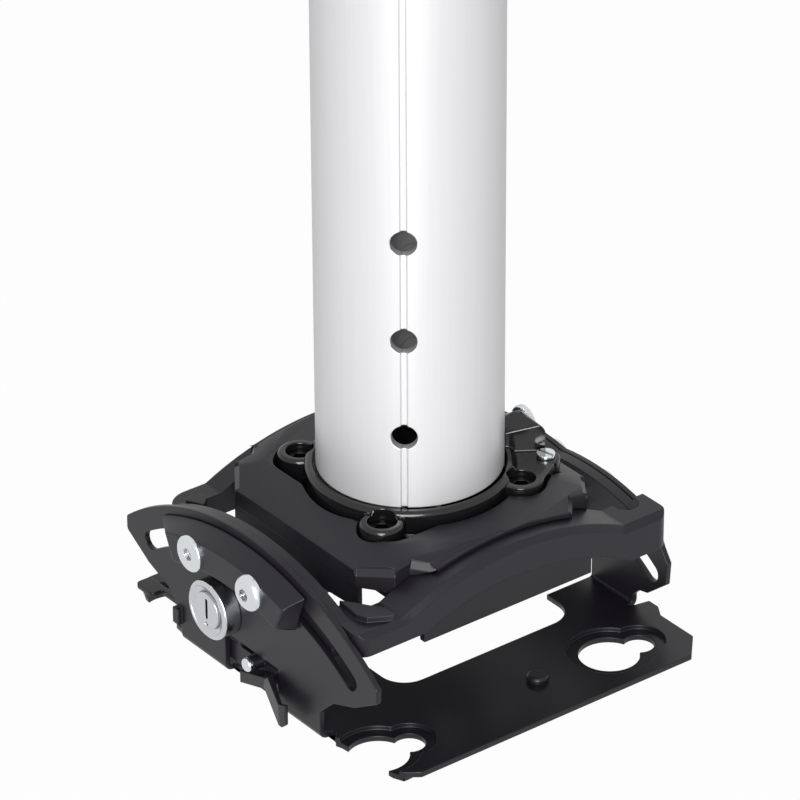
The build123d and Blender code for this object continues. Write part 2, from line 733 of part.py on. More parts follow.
# Cradle group
def beam_profile():
    """Arched beam in (y, z) with flat pads at both ends."""
    near_y = sqrt(beam_under_r ** 2 - (near_corner_bottom - roll_axis_z) ** 2)
    far_y = sqrt(beam_under_r ** 2 - (far_corner_bottom - roll_axis_z) ** 2)
    top = (0.0, roll_axis_z + ARCH_R)
    under = (0.0, roll_axis_z + beam_under_r)
    end = wall_outer_y
    return make_face(
        [
            Line((-end, pad_level), (-PAD_Y, pad_level)),
            ThreePointArc((-PAD_Y, pad_level), top, (PAD_Y, pad_level)),
            Line((PAD_Y, pad_level), (end, pad_level)),
            Line((end, pad_level), (end, far_corner_bottom)),
            Line((end, far_corner_bottom), (far_y, far_corner_bottom)),
            ThreePointArc((far_y, far_corner_bottom), under, (-near_y, near_corner_bottom)),
            Line((-near_y, near_corner_bottom), (-end, near_corner_bottom)),
            Line((-end, near_corner_bottom), (-end, pad_level)),
        ]
    )


def near_gussets():
    """Webs in both near corners, between the beams and the near wall."""
    wall = -wall_inner_y
    right = outline(
        (GUSSET_X, wall - OVERRUN),
        (BEAM_RIGHT_X - 2 * OVERRUN, wall - OVERRUN),
        (BEAM_RIGHT_X - 2 * OVERRUN, wall + 12.0),
        (BEAM_INNER_X + 5.0, wall + 12.0),
        (BEAM_INNER_X + 2.3, wall + 8.4),
        (GUSSET_X + 5.4, wall + 5.5),
        (GUSSET_X + 1.6, wall + 2.6),
    )
    left = outline(
        (-GUSSET_X, wall - OVERRUN),
        (-GUSSET_X - 2.5, wall + 3.4),
        (-BEAM_INNER_X + 2.0, wall + 6.8),
        (BEAM_LEFT_X + 2 * OVERRUN, wall + 7.1),
        (BEAM_LEFT_X + 2 * OVERRUN, wall - OVERRUN),
    )
    return slab_z(right, near_corner_bottom, pad_level) + slab_z(left, near_corner_bottom, pad_level)


def near_lands():
    """Raised flats on both near corners."""
    wall = -wall_inner_y
    right = outline(
        (GUSSET_X + 1.6, wall + 2.6),
        (BEAM_RIGHT_X - 1.6 * LAND_INSET, wall + 1.8),
        (BEAM_RIGHT_X - LAND_INSET, wall + 3.3),
        (BEAM_RIGHT_X - PAD_BEVEL, wall + 10.4),
        (BEAM_RIGHT_X - PAD_BEVEL - SLIDING, wall + 11.6),
        (BEAM_INNER_X + 5.8, wall + 11.6),
        (BEAM_INNER_X + 2.3, wall + 8.4),
        (GUSSET_X + 5.4, wall + 5.5),
    )
    left = outline(
        (-GUSSET_X - 2.5, wall + 3.4),
        (-BEAM_INNER_X + 2.0, wall + 6.8),
        (-BEAM_INNER_X - 1.4, wall + 7.1),
        (BEAM_LEFT_X + LAND_INSET, wall + 3.3),
        (-BEAM_INNER_X - 1.0, wall + 0.3),
    )
    return slab_z(right, pad_level, land_level) + slab_z(left, pad_level, land_level)


def round_corner(x, y, radius):
    """Cutter that rounds the upright corner at (x, y) of a body round the origin."""
    side_x = 1.0 if x > 0 else -1.0
    side_y = 1.0 if y > 0 else -1.0
    size = radius + OVERRUN
    inward = (radius - OVERRUN) / 2
    square = Pos(x - side_x * inward, y - side_y * inward) * Rectangle(size, size)
    face = square - disc(radius, x - side_x * radius, y - side_y * radius)
    return slab_z(face, far_corner_bottom - OVERRUN, land_level + OVERRUN)


def far_top_profile(low_mid, low_side):
    """Far wall or ear in (x, z): a top edge of two mirrored arcs that meet over the middle."""
    half = -BEAM_LEFT_X
    step = FAR_SHOE_HALF_X - FAR_PILLAR_STEP
    foot = FAR_SHOE_HALF_X + FAR_PILLAR_STEP
    end_z = far_top_z + sqrt(FAR_TOP_R ** 2 - (half - FAR_TOP_X) ** 2)
    return make_face(
        [
            ThreePointArc((0.0, far_top_meet), (FAR_TOP_X, FAR_TOP_CREST), (half, end_z)),
            Line((half, end_z), (half, low_side)),
            Line((half, low_side), (foot, low_side)),
            Line((foot, low_side), (step, low_mid)),
            Line((step, low_mid), (-step, low_mid)),
            Line((-step, low_mid), (-foot, low_side)),
            Line((-foot, low_side), (-half, low_side)),
            Line((-half, low_side), (-half, end_z)),
            ThreePointArc((-half, end_z), (-FAR_TOP_X, FAR_TOP_CREST), (0.0, far_top_meet)),
        ]
    )


def pad_rim(edge):
    """True for the outer top edges of the right beam and its pads."""
    middle = edge.center()
    top = roll_axis_z + ARCH_R
    level = middle.Z > pad_level - 0.01 and middle.Z < top + 0.01
    return level and middle.X > BEAM_RIGHT_X - 0.01 and edge.length > 5.0


def far_corner_pocket():
    """Round-ended pocket in the flat far corner, open towards the platform."""
    mouth = disc(FAR_POCKET_R, BEAM_INNER_X - OVERRUN, FAR_POCKET_Y)
    end = disc(FAR_POCKET_R, BEAM_INNER_X + FAR_POCKET_REACH, FAR_POCKET_Y)
    return slab_z(make_hull((mouth + end).edges()), pad_level - FAR_POCKET_DEPTH, pad_level)


def pitch_screw_point(radius, angle):
    """Place of a pitch screw in (x, z) at an angle from straight up."""
    return radius * sin(radians(angle)), pitch_axis_z + radius * cos(radians(angle))


def make_cradle():
    right = slab_x(beam_profile(), BEAM_INNER_X, BEAM_RIGHT_X)
    left = slab_x(beam_profile(), BEAM_LEFT_X, -BEAM_INNER_X)
    right = chamfer(right.edges().filter_by(pad_rim), PAD_BEVEL)
    relief = Pos(0, 0, roll_axis_z) * Rot(0, 90, 0) * Cylinder(ARCH_R - BEAM_DECK, 4 * BEAM_RIGHT_X)
    room = BEAM_RIGHT_X - BEAM_WEB - BEAM_INNER_X
    relief &= Pos(BEAM_INNER_X + room / 2, 0, BEAM_APEX) * Box(room, 2 * RELIEF_HALF_Y, 6 * BEAM_DEPTH)
    body = right - relief - far_corner_pocket() + left
    centre = (0.0, pitch_axis_z)
    wall_top_r = NEAR_SLOT_R + NEAR_WALL_RISE
    half_angle = degrees(asin(NEAR_WALL_HALF_X / wall_top_r))
    near = sector(centre, NEAR_SLOT_R - NEAR_WALL_DROP, wall_top_r, 90.0 - half_angle, 90.0 + half_angle)
    body += slab_y(near, -wall_outer_y, -wall_inner_y)
    far_low = pitch_axis_z + far_slot_r - FAR_WALL_DROP
    body += slab_y(far_top_profile(far_low, far_corner_bottom), wall_inner_y, wall_outer_y)
    body += near_gussets() + near_lands()
    for y in (-wall_outer_y, wall_outer_y):
        body -= round_corner(BEAM_RIGHT_X, y, CRADLE_CORNER_R)
    body -= round_corner(BEAM_LEFT_X, -wall_outer_y, CRADLE_LEFT_CORNER_R)
    body -= round_corner(BEAM_LEFT_X, wall_outer_y, CRADLE_CORNER_R)
    for angle in NEAR_SCREW_ANGLES:
        x, z = pitch_screw_point(NEAR_SLOT_R, angle)
        body -= rod_y(PITCH_SCREW_D / 2 + RUNNING, -wall_outer_y, -wall_inner_y, x, z)
    for angle in FAR_SCREW_ANGLES:
        x, z = pitch_screw_point(far_slot_r, angle)
        body -= rod_y(PITCH_SCREW_D / 2 + RUNNING, wall_inner_y, wall_outer_y, x, z)
    return body


def arc_band(top_r, low_r, left, right, low_left, low_right):
    """Face between two arcs about the pitch axis, with straight slanted ends."""
    z = pitch_axis_z
    top_left = (left, on_arc(top_r, left, z))
    top_right = (right, on_arc(top_r, right, z))
    base_left = (low_left, on_arc(low_r, low_left, z))
    base_right = (low_right, on_arc(low_r, low_right, z))
    return make_face(
        [
            ThreePointArc(top_left, (0, z + top_r), top_right),
            Line(top_right, base_right),
            ThreePointArc(base_right, (0, z + low_r), base_left),
            Line(base_left, top_left),
        ]
    )


def make_near_shoe():
    """Clamp shoe outside the near ear, bevelled on all sides."""
    top_r = NEAR_SLOT_R + SHOE_RISE
    low_r = NEAR_SLOT_R - SHOE_DROP
    back = arc_band(
        top_r, low_r, SHOE_LEFT, SHOE_RIGHT, SHOE_LEFT + SHOE_SLANT, SHOE_RIGHT - SHOE_RIGHT_SLANT
    )
    left = SHOE_LEFT + SHOE_LEFT_BEVEL
    right = SHOE_RIGHT - SHOE_RIGHT_BEVEL
    face = arc_band(
        top_r - SHOE_TOP_BEVEL,
        low_r + SHOE_LOW_BEVEL,
        left,
        right,
        left + SHOE_FACE_SLANT,
        right - SHOE_FACE_SLANT,
    )
    shoe = loft(
        [Plane.XZ.offset(shoe_back_y) * back, Plane.XZ.offset(shoe_face_y) * face],
        ruled=True,
    )
    for angle in NEAR_SCREW_ANGLES:
        x, z = pitch_screw_point(NEAR_SLOT_R, angle)
        shoe -= rod_y(PITCH_SCREW_D / 2 + RUNNING, -shoe_face_y - OVERRUN, -shoe_back_y, x, z)
    return shoe


def make_far_shoe():
    half = FAR_SHOE_HALF_X
    low_half = half - FAR_SHOE_SLANT
    back = arc_band(far_slot_r + FAR_SHOE_BAND, far_slot_r - FAR_SHOE_BAND, -half, half, -low_half, low_half)
    shoe = slab_y(back, shoe_back_y, shoe_back_y + FAR_SHOE_DEPTH)
    outer_edges = shoe.edges().group_by(Axis.Y)[-1]
    shoe = chamfer(outer_edges, 1.5)
    for angle in FAR_SCREW_ANGLES:
        x, z = pitch_screw_point(far_slot_r, angle)
        shoe -= rod_y(PITCH_SCREW_D / 2 + RUNNING, shoe_back_y, shoe_back_y + FAR_SHOE_DEPTH, x, z)
    return shoe


def screw_along_y(x, z, face_y, inner_end, dome):
    """Pitch screw: a head outside face_y, its shank running in to inner_end."""
    side = 1.0 if face_y > 0 else -1.0
    reach = abs(face_y) + (3.0 if dome else 1.3)
    low, high = sorted((face_y, side * reach))
    head = rod_y(PITCH_SCREW_HEAD / 2, low, high, x, z)
    rim = head.edges().group_by(Axis.Y)[-1 if side > 0 else 0]
    head = fillet(rim, 2.6) if dome else chamfer(rim, 0.5)
    low, high = sorted((face_y, side * inner_end))
    screw = head + rod_y(PITCH_SCREW_D / 2, low, high, x, z)
    socket = Rot(90, 0, 0) * hex_prism(4.0, 0.0, 2 * (1.1 if not dome else 2.0))
    return screw - Pos(x, side * reach + (1.1 if not dome else 2.0), z) * socket


def make_near_screws():
    inner_end = wall_inner_y - NUT_HEIGHT + 0.2
    flat, domed = NEAR_SCREW_ANGLES
    x, z = pitch_screw_point(NEAR_SLOT_R, flat)
    first = screw_along_y(x, z, -shoe_face_y, inner_end, False)
    x, z = pitch_screw_point(NEAR_SLOT_R, domed)
    second = screw_along_y(x, z, -shoe_face_y, inner_end, True)
    return first, second


def make_far_screws():
    inner_end = wall_inner_y - NUT_HEIGHT + 0.2
    face = shoe_back_y + FAR_SHOE_DEPTH
    screws = []
    for angle in FAR_SCREW_ANGLES:
        x, z = pitch_screw_point(far_slot_r, angle)
        screws.append(screw_along_y(x, z, face, inner_end, True))
    return Compound(children=screws)


def pitch_nuts(radius, angles, y0, y1):
    nuts = []
    for angle in angles:
        x, z = pitch_screw_point(radius, angle)
        nut = Pos(x, y1, z) * Rot(90, 0, 0) * hex_prism(NUT_FLATS, 0.0, y1 - y0)
        nuts.append(nut - rod_y(PITCH_SCREW_D / 2 + RUNNING, y0, y1, x, z))
    return Compound(children=nuts)


# Pitch bracket
def near_ear_profile():
    """Near ear in (x, z): a wide arc with swept-back tips on a narrower neck."""
    tip_x = NEAR_EAR_HALF_X
    outer_r = NEAR_SLOT_R + NEAR_EAR_BAND
    top_z = on_arc(outer_r, tip_x, pitch_axis_z)
    crest = pitch_axis_z + outer_r
    band_x = tip_x - 11.7
    shoulder_x = NECK_HALF + 7.0
    side = [
        (tip_x, top_z - NEAR_EAR_TIP_HEIGHT),
        (band_x, on_arc(NEAR_SLOT_R - NEAR_SLOT_WIDTH, band_x, pitch_axis_z)),
        (shoulder_x, on_arc(NEAR_SLOT_R - 2.5 * NEAR_SLOT_WIDTH, shoulder_x, pitch_axis_z)),
        (NECK_HALF, bend_z + NECK_RISE),
        (NECK_HALF, bend_z),
    ]
    left = [(-x, z) for x, z in reversed(side)]
    face = make_face(
        [
            ThreePointArc((-tip_x, top_z), (0, crest), (tip_x, top_z)),
            Polyline((tip_x, top_z), *side, *left, (-tip_x, top_z)),
        ]
    )
    tips = face.vertices().filter_by(lambda v: abs(v.X) > NECK_HALF + OVERRUN)
    return fillet(tips, 1.8)


def far_ear_profile():
    """Far ear in (x, z): a lower double arc with hooked tips."""
    half = FAR_EAR_HALF_X
    end_z = far_top_z + sqrt(FAR_TOP_R ** 2 - (half - FAR_TOP_X) ** 2)
    side = [
        (half + 4.6, bend_z + 25.9),
        (half + 7.7, bend_z + 21.4),
        (half + 7.1, bend_z + 13.3),
        (NECK_HALF + 7.2, bend_z + 6.0),
        (NECK_HALF + 3.1, bend_z + 5.1),
        (NECK_HALF, bend_z + 2.0),
        (NECK_HALF, bend_z),
    ]
    left = [(-x, z) for x, z in reversed(side)]
    return make_face(
        [
            ThreePointArc((-half, end_z), (-FAR_TOP_X, FAR_TOP_CREST), (0.0, far_top_meet)),
            ThreePointArc((0.0, far_top_meet), (FAR_TOP_X, FAR_TOP_CREST), (half, end_z)),
            Polyline((half, end_z), *side, *left, (-half, end_z)),
        ]
    )


def plate_outline():
    """Bottom plate seen from above."""
    right = [
        (NECK_HALF, -bend_y),
        (NECK_HALF, PLATE_NEAR_Y - 1.6),
        (NECK_HALF + 2.0, PLATE_NEAR_Y - 1.6),
        (NECK_HALF + 3.6, PLATE_NEAR_Y - 3.2),
        (NECK_HALF + 6.0, PLATE_NEAR_Y - 2.4),
        (PLATE_HALF_X - 6.8, PLATE_NEAR_Y),
        (PLATE_HALF_X - 3.3, PLATE_NEAR_Y + 1.6),
        (PLATE_HALF_X, PLATE_NEAR_Y + 6.0),
        (PLATE_HALF_X, PLATE_FAR_Y - 7.7),
        (PLATE_HALF_X - 8.3, PLATE_FAR_Y),
        (NECK_HALF + 11.5, PLATE_FAR_Y),
        (NECK_HALF + 7.0, PLATE_FAR_Y + 2.7),
        (NECK_HALF + 2.4, PLATE_FAR_Y + 2.7),
        (NECK_HALF + 1.4, PLATE_FAR_Y - 2.7),
        (NECK_HALF, PLATE_FAR_Y - 4.7),
        (NECK_HALF, bend_y),
    ]
    left = [(-x, y) for x, y in reversed(right)]
    return outline(*right, *left)


def keyhole(y, grow=0.0):
    """Keyhole face: a large hole, a smaller one behind it and the throat between them."""
    large = disc(KEYHOLE_LARGE_D / 2 + grow, KEYHOLE_X, y)
    small = disc(KEYHOLE_SMALL_D / 2 + grow, KEYHOLE_X + 1.0, y + KEYHOLE_PITCH)
    return large + small


def arc_slot(radius, width, half_angle):
    """Round-ended slot about the pitch axis, in (x, z)."""
    low = radius - width / 2
    face = sector((0.0, pitch_axis_z), low, low + width, 90.0 - half_angle, 90.0 + half_angle)
    for angle in (-half_angle, half_angle):
        face += disc(width / 2, *pitch_screw_point(radius, angle))
    return face


def make_bracket():
    flat = plate_outline()
    plate = slab_z(flat, plate_bottom, PLATE_TOP)
    near = slab_y(near_ear_profile(), -EAR_FACE_Y, -ear_inner_y)
    far = slab_y(far_ear_profile(), ear_inner_y, EAR_FACE_Y)
    body = plate + near + far
    outer_r = BEND_R + SHEET
    near_bend = sector((-bend_y, bend_z), BEND_R, outer_r, 180.0, 270.0)
    far_bend = sector((bend_y, bend_z), BEND_R, outer_r, 270.0, 360.0)
    body += slab_x(near_bend, -NECK_HALF, NECK_HALF) + slab_x(far_bend, -NECK_HALF, NECK_HALF)
    body -= slab_y(arc_slot(NEAR_SLOT_R, NEAR_SLOT_WIDTH, NEAR_SLOT_HALF), -EAR_FACE_Y, -ear_inner_y)
    body -= slab_y(arc_slot(far_slot_r, FAR_SLOT_WIDTH, FAR_SLOT_HALF), ear_inner_y, EAR_FACE_Y)
    # cable opening with its window up into the far ear
    length = OPENING_FAR_Y - OPENING_NEAR_Y
    middle = (OPENING_FAR_Y + OPENING_NEAR_Y) / 2
    opening = Pos(0, middle) * RectangleRounded(2 * OPENING_HALF_X, length, OPENING_CORNER_R)
    body -= slab_z(opening, plate_bottom, PLATE_TOP)
    inside = OPENING_FAR_Y - OVERRUN
    outside = PLATE_FAR_Y + 6 * OVERRUN
    window = Pos(0, (inside + outside) / 2) * Rectangle(2 * WINDOW_HALF_X, outside - inside)
    body -= slab_z(window, plate_bottom, WINDOW_TOP)
    # latch window low in the near ear
    height = LATCH_WINDOW_TOP - plate_bottom
    latch = Pos((LATCH_WINDOW_LEFT + LATCH_WINDOW_RIGHT) / 2, plate_bottom + height / 2)
    latch = latch * Rectangle(LATCH_WINDOW_RIGHT - LATCH_WINDOW_LEFT, height)
    body -= slab_y(latch, -EAR_FACE_Y - OVERRUN, -bend_y + OVERRUN)
    # pressed rims round the keyholes, one sheet step lower than the plate
    for y in (FAR_KEYHOLE_Y, NEAR_KEYHOLE_Y):
        for side in (1, -1):
            body = press_rim(body, flat, y, side)
    body -= rod_y(LOCK_BODY_D / 2 + RUNNING, -EAR_FACE_Y, -ear_inner_y, LOCK_X, lock_z)
    # small lug on the neck's left edge
    lug_left = -NECK_HALF - LUG_OUT
    lug = outline(
        (lug_left, LUG_LOW),
        (lug_left + LUG_WIDTH, LUG_LOW),
        (lug_left + LUG_WIDTH, LUG_LOW + LUG_HEIGHT),
        (lug_left, LUG_LOW + LUG_HEIGHT),
    )
    return body + slab_y(lug, -EAR_FACE_Y - LUG_PROUD, -ear_inner_y)


def press_rim(body, flat, y, side):
    """Lower the sheet round one keyhole by the rim's drop and cut the keyhole."""
    ledge = keyhole(y, RIM_WIDTH) & flat
    wall = (keyhole(y, RIM_WIDTH + SHEET * 0.8) & flat) - ledge
    hole = keyhole(y)
    pieces = []
    for face in (ledge, wall, hole):
        pieces.append(face if side > 0 else mirror(face, about=Plane.YZ))
    ledge, wall, hole = pieces
    body -= slab_z(ledge, PLATE_TOP - RIM_DROP, PLATE_TOP)
    body += slab_z(ledge, plate_bottom - RIM_DROP, plate_bottom)
    body += slab_z(wall, plate_bottom - RIM_DROP, plate_bottom)
    return body - slab_z(hole, plate_bottom - 2 * RIM_DROP, PLATE_TOP)


def make_plate_studs():
    studs = []
    for side in (1, -1):
        stud = rod(STUD_D / 2, PLATE_TOP, PLATE_TOP + STUD_HEIGHT, side * STUD_X, STUD_Y)
        studs.append(chamfer(stud.edges().group_by(Axis.Z)[-1], STUD_HEIGHT / 3))
    return Compound(children=studs)


# Key lock
def make_lock_body():
    face_y = -EAR_FACE_Y - LOCK_BEZEL_DEPTH
    bezel = rod_y(LOCK_BEZEL_D / 2, face_y, -EAR_FACE_Y, LOCK_X, lock_z)
    rim = bezel.edges().group_by(Axis.Y)[0]
    bezel = chamfer(rim, 1.2)
    tail_y = -EAR_FACE_Y + LOCK_BODY_LENGTH
    body = bezel + rod_y(LOCK_BODY_D / 2, -EAR_FACE_Y, tail_y, LOCK_X, lock_z)
    return body - rod_y(PLUG_D / 2 + RUNNING, face_y, tail_y, LOCK_X, lock_z)


def make_lock_nut():
    outer = rod_y(LOCK_NUT_D / 2, -ear_inner_y, -ear_inner_y + 3.0, LOCK_X, lock_z)
    nut = outer - rod_y(LOCK_BODY_D / 2 + RUNNING, -ear_inner_y, -ear_inner_y + 3.0, LOCK_X, lock_z)
    for i in range(4):
        notch = Rot(0, 90.0 * i, 0) * Pos(LOCK_NUT_D / 2, 0, 0) * Box(2.0, 8.0, 3.0)
        nut -= Pos(LOCK_X, -ear_inner_y, lock_z) * notch
    return nut


def make_lock_plug():
    face_y = -EAR_FACE_Y - LOCK_BEZEL_DEPTH + 0.2
    tail_y = cam_back_y()
    plug = rod_y(PLUG_D / 2, face_y, tail_y, LOCK_X, lock_z)
    plug += rod_y(3.0, tail_y, tail_y + CAM_THICKNESS + 1.5, LOCK_X, lock_z)
    keyway = Pos(LOCK_X, face_y, lock_z + 0.6) * Box(1.2, 12.0, 7.2)
    pin_hole = rod_y(0.7, face_y, face_y + 1.5, LOCK_X, lock_z - 4.9)
    return plug - keyway - pin_hole


def cam_back_y():
    """Place along Y where the cam starts, just behind the lock's body."""
    return -EAR_FACE_Y + LOCK_BODY_LENGTH + SLIDING


def make_lock_cam():
    tail_y = cam_back_y()
    arm = Pos((CAM_WIDTH - CAM_LENGTH) / 2, 0) * SlotOverall(CAM_LENGTH, CAM_WIDTH)
    cam = Pos(LOCK_X, 0, lock_z) * slab_y(arm, tail_y, tail_y + CAM_THICKNESS)
    return cam - rod_y(3.0 + RUNNING, tail_y, tail_y + CAM_THICKNESS, LOCK_X, lock_z)


# Latch slide
def upright(left, right, low, high):
    """Rectangle in (x, z) between two sides and two levels."""
    return outline((left, low), (right, low), (right, high), (left, high))


def latch_block():
    """Slanted block in (x, z) that fills the latch window."""
    low = latch_high - LATCH_BLOCK_RISE - 5 * OVERRUN
    return outline(
        (LATCH_BLOCK_LEFT, low),
        (LATCH_BLOCK_RIGHT, low + LATCH_BLOCK_RISE),
        (LATCH_BLOCK_RIGHT, low + LATCH_BLOCK_RISE + LATCH_BLOCK_HEIGHT),
        (LATCH_BLOCK_LEFT, low + LATCH_BLOCK_HEIGHT),
    )


def finger_pull():
    """Strip that leaves the block's right end and bends outwards and down to a flat tip."""
    right = LATCH_BLOCK_RIGHT
    front = latch_front_y
    tip_y = -EAR_FACE_Y - PULL_REACH
    path = outline(
        (right - OVERRUN, front),
        (PULL_LEFT, tip_y),
        (PULL_RIGHT, tip_y),
        (PULL_RIGHT, tip_y + PULL_SHEET),
        (PULL_LEFT + PULL_SHEET / 3, tip_y + PULL_SHEET),
        (right + OVERRUN, front + SHEET),
        (right - OVERRUN, front + SHEET),
    )
    tip_low = latch_low - PULL_HEIGHT / 2
    tip_high = tip_low + PULL_HEIGHT
    side = outline(
        (right - OVERRUN, latch_high - LATCH_BLOCK_RISE),
        (PULL_LEFT, tip_low),
        (PULL_RIGHT - 2.0, tip_low),
        (PULL_RIGHT, tip_low + 1.8),
        (PULL_RIGHT, tip_high + 1.2),
        (PULL_LEFT, tip_high),
        (right + 2.7, latch_high + 1.5),
        (right, latch_high - OVERRUN),
    )
    return slab_z(path, tip_low, LATCH_WINDOW_TOP) & slab_y(side, tip_y, front + SHEET)


def make_latch_slide():
    """Bar behind the ear with a thumb tab on the left and a bent finger pull in front."""
    bar_front = latch_back_y + SHEET
    slide = slab_y(upright(LATCH_LEFT, LATCH_RIGHT, latch_low, latch_high), latch_back_y, bar_front)
    arm_low = latch_high - LATCH_ARM
    slide += slab_y(upright(LATCH_TAB_LEFT, LATCH_LEFT, arm_low, latch_high), latch_back_y, bar_front)
    tab_mid = (LATCH_TAB_LEFT + LATCH_TAB_LENGTH / 2, bar_front - LATCH_TAB_REACH / 2)
    tab_face = Pos(*tab_mid) * RectangleRounded(LATCH_TAB_LENGTH, LATCH_TAB_REACH, LATCH_ARM * 0.9)
    tab = slab_z(tab_face, arm_low, latch_high)
    block = slab_y(latch_block(), latch_front_y, bar_front)
    boss = rod_y(LATCH_RIVET_HEAD / 2 + RUNNING, latch_front_y, bar_front, LATCH_RIVET_X, latch_rivet_z)
    # tab folded back from the bar, which the lock's cam blocks when it points down
    cam_y = cam_back_y()
    stop_top = latch_low + LATCH_STOP_RISE
    stop = outline(
        (latch_back_y, latch_low),
        (cam_y + CAM_THICKNESS, latch_low),
        (cam_y + CAM_THICKNESS, stop_top),
        (cam_y, stop_top),
        (cam_y, latch_high + 2.5),
        (latch_back_y, latch_high + 2.5),
    )
    stop_x = LOCK_X + CAM_WIDTH / 2 + SLIDING
    slide += tab + block + boss + finger_pull() + slab_x(stop, stop_x, stop_x + SHEET)
    return slide - latch_rivet_shank(RUNNING)


def latch_rivet_shank(grow=0.0):
    """Shank of the latch rivet, or the hole for it."""
    end = latch_front_y + LATCH_RIVET_D
    return rod_y(LATCH_RIVET_D / 2 + grow, latch_front_y, end, LATCH_RIVET_X, latch_rivet_z)


def make_latch_rivet():
    head = rod_y(LATCH_RIVET_HEAD / 2, latch_front_y - 1.6, latch_front_y, LATCH_RIVET_X, latch_rivet_z)
    return latch_rivet_shank() + fillet(head.edges().group_by(Axis.Y)[0], 1.0)


# Write one file for each piece
near_flat_screw, near_dome_screw = make_near_screws()
PIECES = {
    "column": make_column(),
    "column_foot": make_column_foot(),
    "foot_screws": make_foot_screws(),
    "collar": make_collar(),
    "collar_screws": make_collar_screws(),
    "collar_nuts": make_collar_nuts(),
    "pad_screw": make_pad_screw(),
    "thumb_knob": make_thumb_knob(),
    "platform": make_platform(),
    "roll_clamp": make_roll_clamp(),
    "roll_bolts": make_roll_bolts(),
    "cradle": make_cradle(),
    "near_shoe": make_near_shoe(),
    "near_flat_screw": near_flat_screw,
    "near_dome_screw": near_dome_screw,
    "near_nuts": pitch_nuts(NEAR_SLOT_R, NEAR_SCREW_ANGLES, -wall_inner_y, -wall_inner_y + NUT_HEIGHT),
    "far_shoe": make_far_shoe(),
    "far_screws": make_far_screws(),
    "far_nuts": pitch_nuts(far_slot_r, FAR_SCREW_ANGLES, wall_inner_y - NUT_HEIGHT, wall_inner_y),
    "pitch_bracket": make_bracket(),
    "plate_studs": make_plate_studs(),
    "lock_body": make_lock_body(),
    "lock_nut": make_lock_nut(),
    "lock_plug": make_lock_plug(),
    "lock_cam": make_lock_cam(),
    "latch_slide": make_latch_slide(),
    "latch_rivet": make_latch_rivet(),
}

os.makedirs("parts", exist_ok=True)
for name, shape in PIECES.items():
    export_step(shape, f"parts/{name}.step")
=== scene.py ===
"""Looks of the projector ceiling mount: edges, finishes, small hardware, floor, light and camera.

Lengths are in metres. Only the turned pieces, the dark wall of painted shade under the platform
and the plugs are worked out in millimetres, and the functions that make them say so.
"""
import json
from math import cos, radians, sin

import bmesh
import bpy
import numpy as np
from bpy.props import (
    FloatProperty, FloatVectorProperty, IntProperty, PointerProperty, StringProperty)
from mathutils import Matrix, Vector


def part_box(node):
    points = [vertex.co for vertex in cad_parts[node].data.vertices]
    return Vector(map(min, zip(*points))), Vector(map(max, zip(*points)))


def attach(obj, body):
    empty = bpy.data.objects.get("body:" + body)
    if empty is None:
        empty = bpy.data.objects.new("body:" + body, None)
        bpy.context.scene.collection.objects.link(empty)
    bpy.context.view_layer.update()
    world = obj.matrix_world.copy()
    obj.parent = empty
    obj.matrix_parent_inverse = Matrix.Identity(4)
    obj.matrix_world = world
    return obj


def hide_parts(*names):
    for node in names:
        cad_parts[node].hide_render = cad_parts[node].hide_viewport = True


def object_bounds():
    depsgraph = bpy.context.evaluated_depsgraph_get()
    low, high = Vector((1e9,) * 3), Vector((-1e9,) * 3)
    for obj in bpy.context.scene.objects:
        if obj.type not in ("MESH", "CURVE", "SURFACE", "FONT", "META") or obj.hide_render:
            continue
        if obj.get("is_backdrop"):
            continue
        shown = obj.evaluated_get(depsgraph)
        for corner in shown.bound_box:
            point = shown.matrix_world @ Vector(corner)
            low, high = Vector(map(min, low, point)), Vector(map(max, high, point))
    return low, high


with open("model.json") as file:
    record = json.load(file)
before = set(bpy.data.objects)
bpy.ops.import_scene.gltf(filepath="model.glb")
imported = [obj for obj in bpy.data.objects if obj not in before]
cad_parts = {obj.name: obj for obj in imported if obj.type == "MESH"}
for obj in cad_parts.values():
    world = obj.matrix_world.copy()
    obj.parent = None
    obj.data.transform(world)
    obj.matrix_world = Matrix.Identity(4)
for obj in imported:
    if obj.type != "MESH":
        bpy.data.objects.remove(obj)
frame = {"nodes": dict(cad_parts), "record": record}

bl_info = {
    "name": "Projector Ceiling Mount",
    "version": (1, 0, 0),
    "blender": (4, 5, 0),
    "location": "View3D > Sidebar > Mount",
    "description": "Builds the finishes and small hardware of a projector ceiling mount",
    "category": "Add Mesh",
}

MM = 0.001

# Pitch screws, in millimetres
HEAD_R, FLAT_RISE, DOME_RISE = 6.1, 1.3, 3.0
DOME_R = 2.6  # rounding of the domed head
SHANK_R, THREAD_R = 3.0, 2.95
THREAD_ROWS = 6  # rows in one turn of the thread
SOCKET_RIM, SOCKET_POINT = 0.12, 0.5  # bevel at the socket's mouth and cone at its floor
# Their faces and tips, as (radius, distance from the end)
FLAT_FACE = ((5.4, 0.0), (5.6, 0.04), (6.05, 0.45), (HEAD_R, 0.6))
SCREW_TIP = ((2.6, 0.3), (2.2, 0.0))

# Key lock, in millimetres
PLUG_PLAY = 0.08  # between the plug and its bore
BEZEL_DEPTH, NECK_R = 6.5, 8.75
# Its dish as (out from the bore, back), and its lip as (in from the outer edge, back)
BEZEL_DISH = (
    (0.0, 1.3), (0.2, 1.15), (0.5, 1.1), (2.0, 0.5), (2.15, 0.36), (2.3, 0.1), (2.5, 0.0))
BEZEL_LIP = ((1.15, 0.0), (0.95, 0.06), (0.2, 0.7), (0.05, 0.86), (0.0, 1.1))

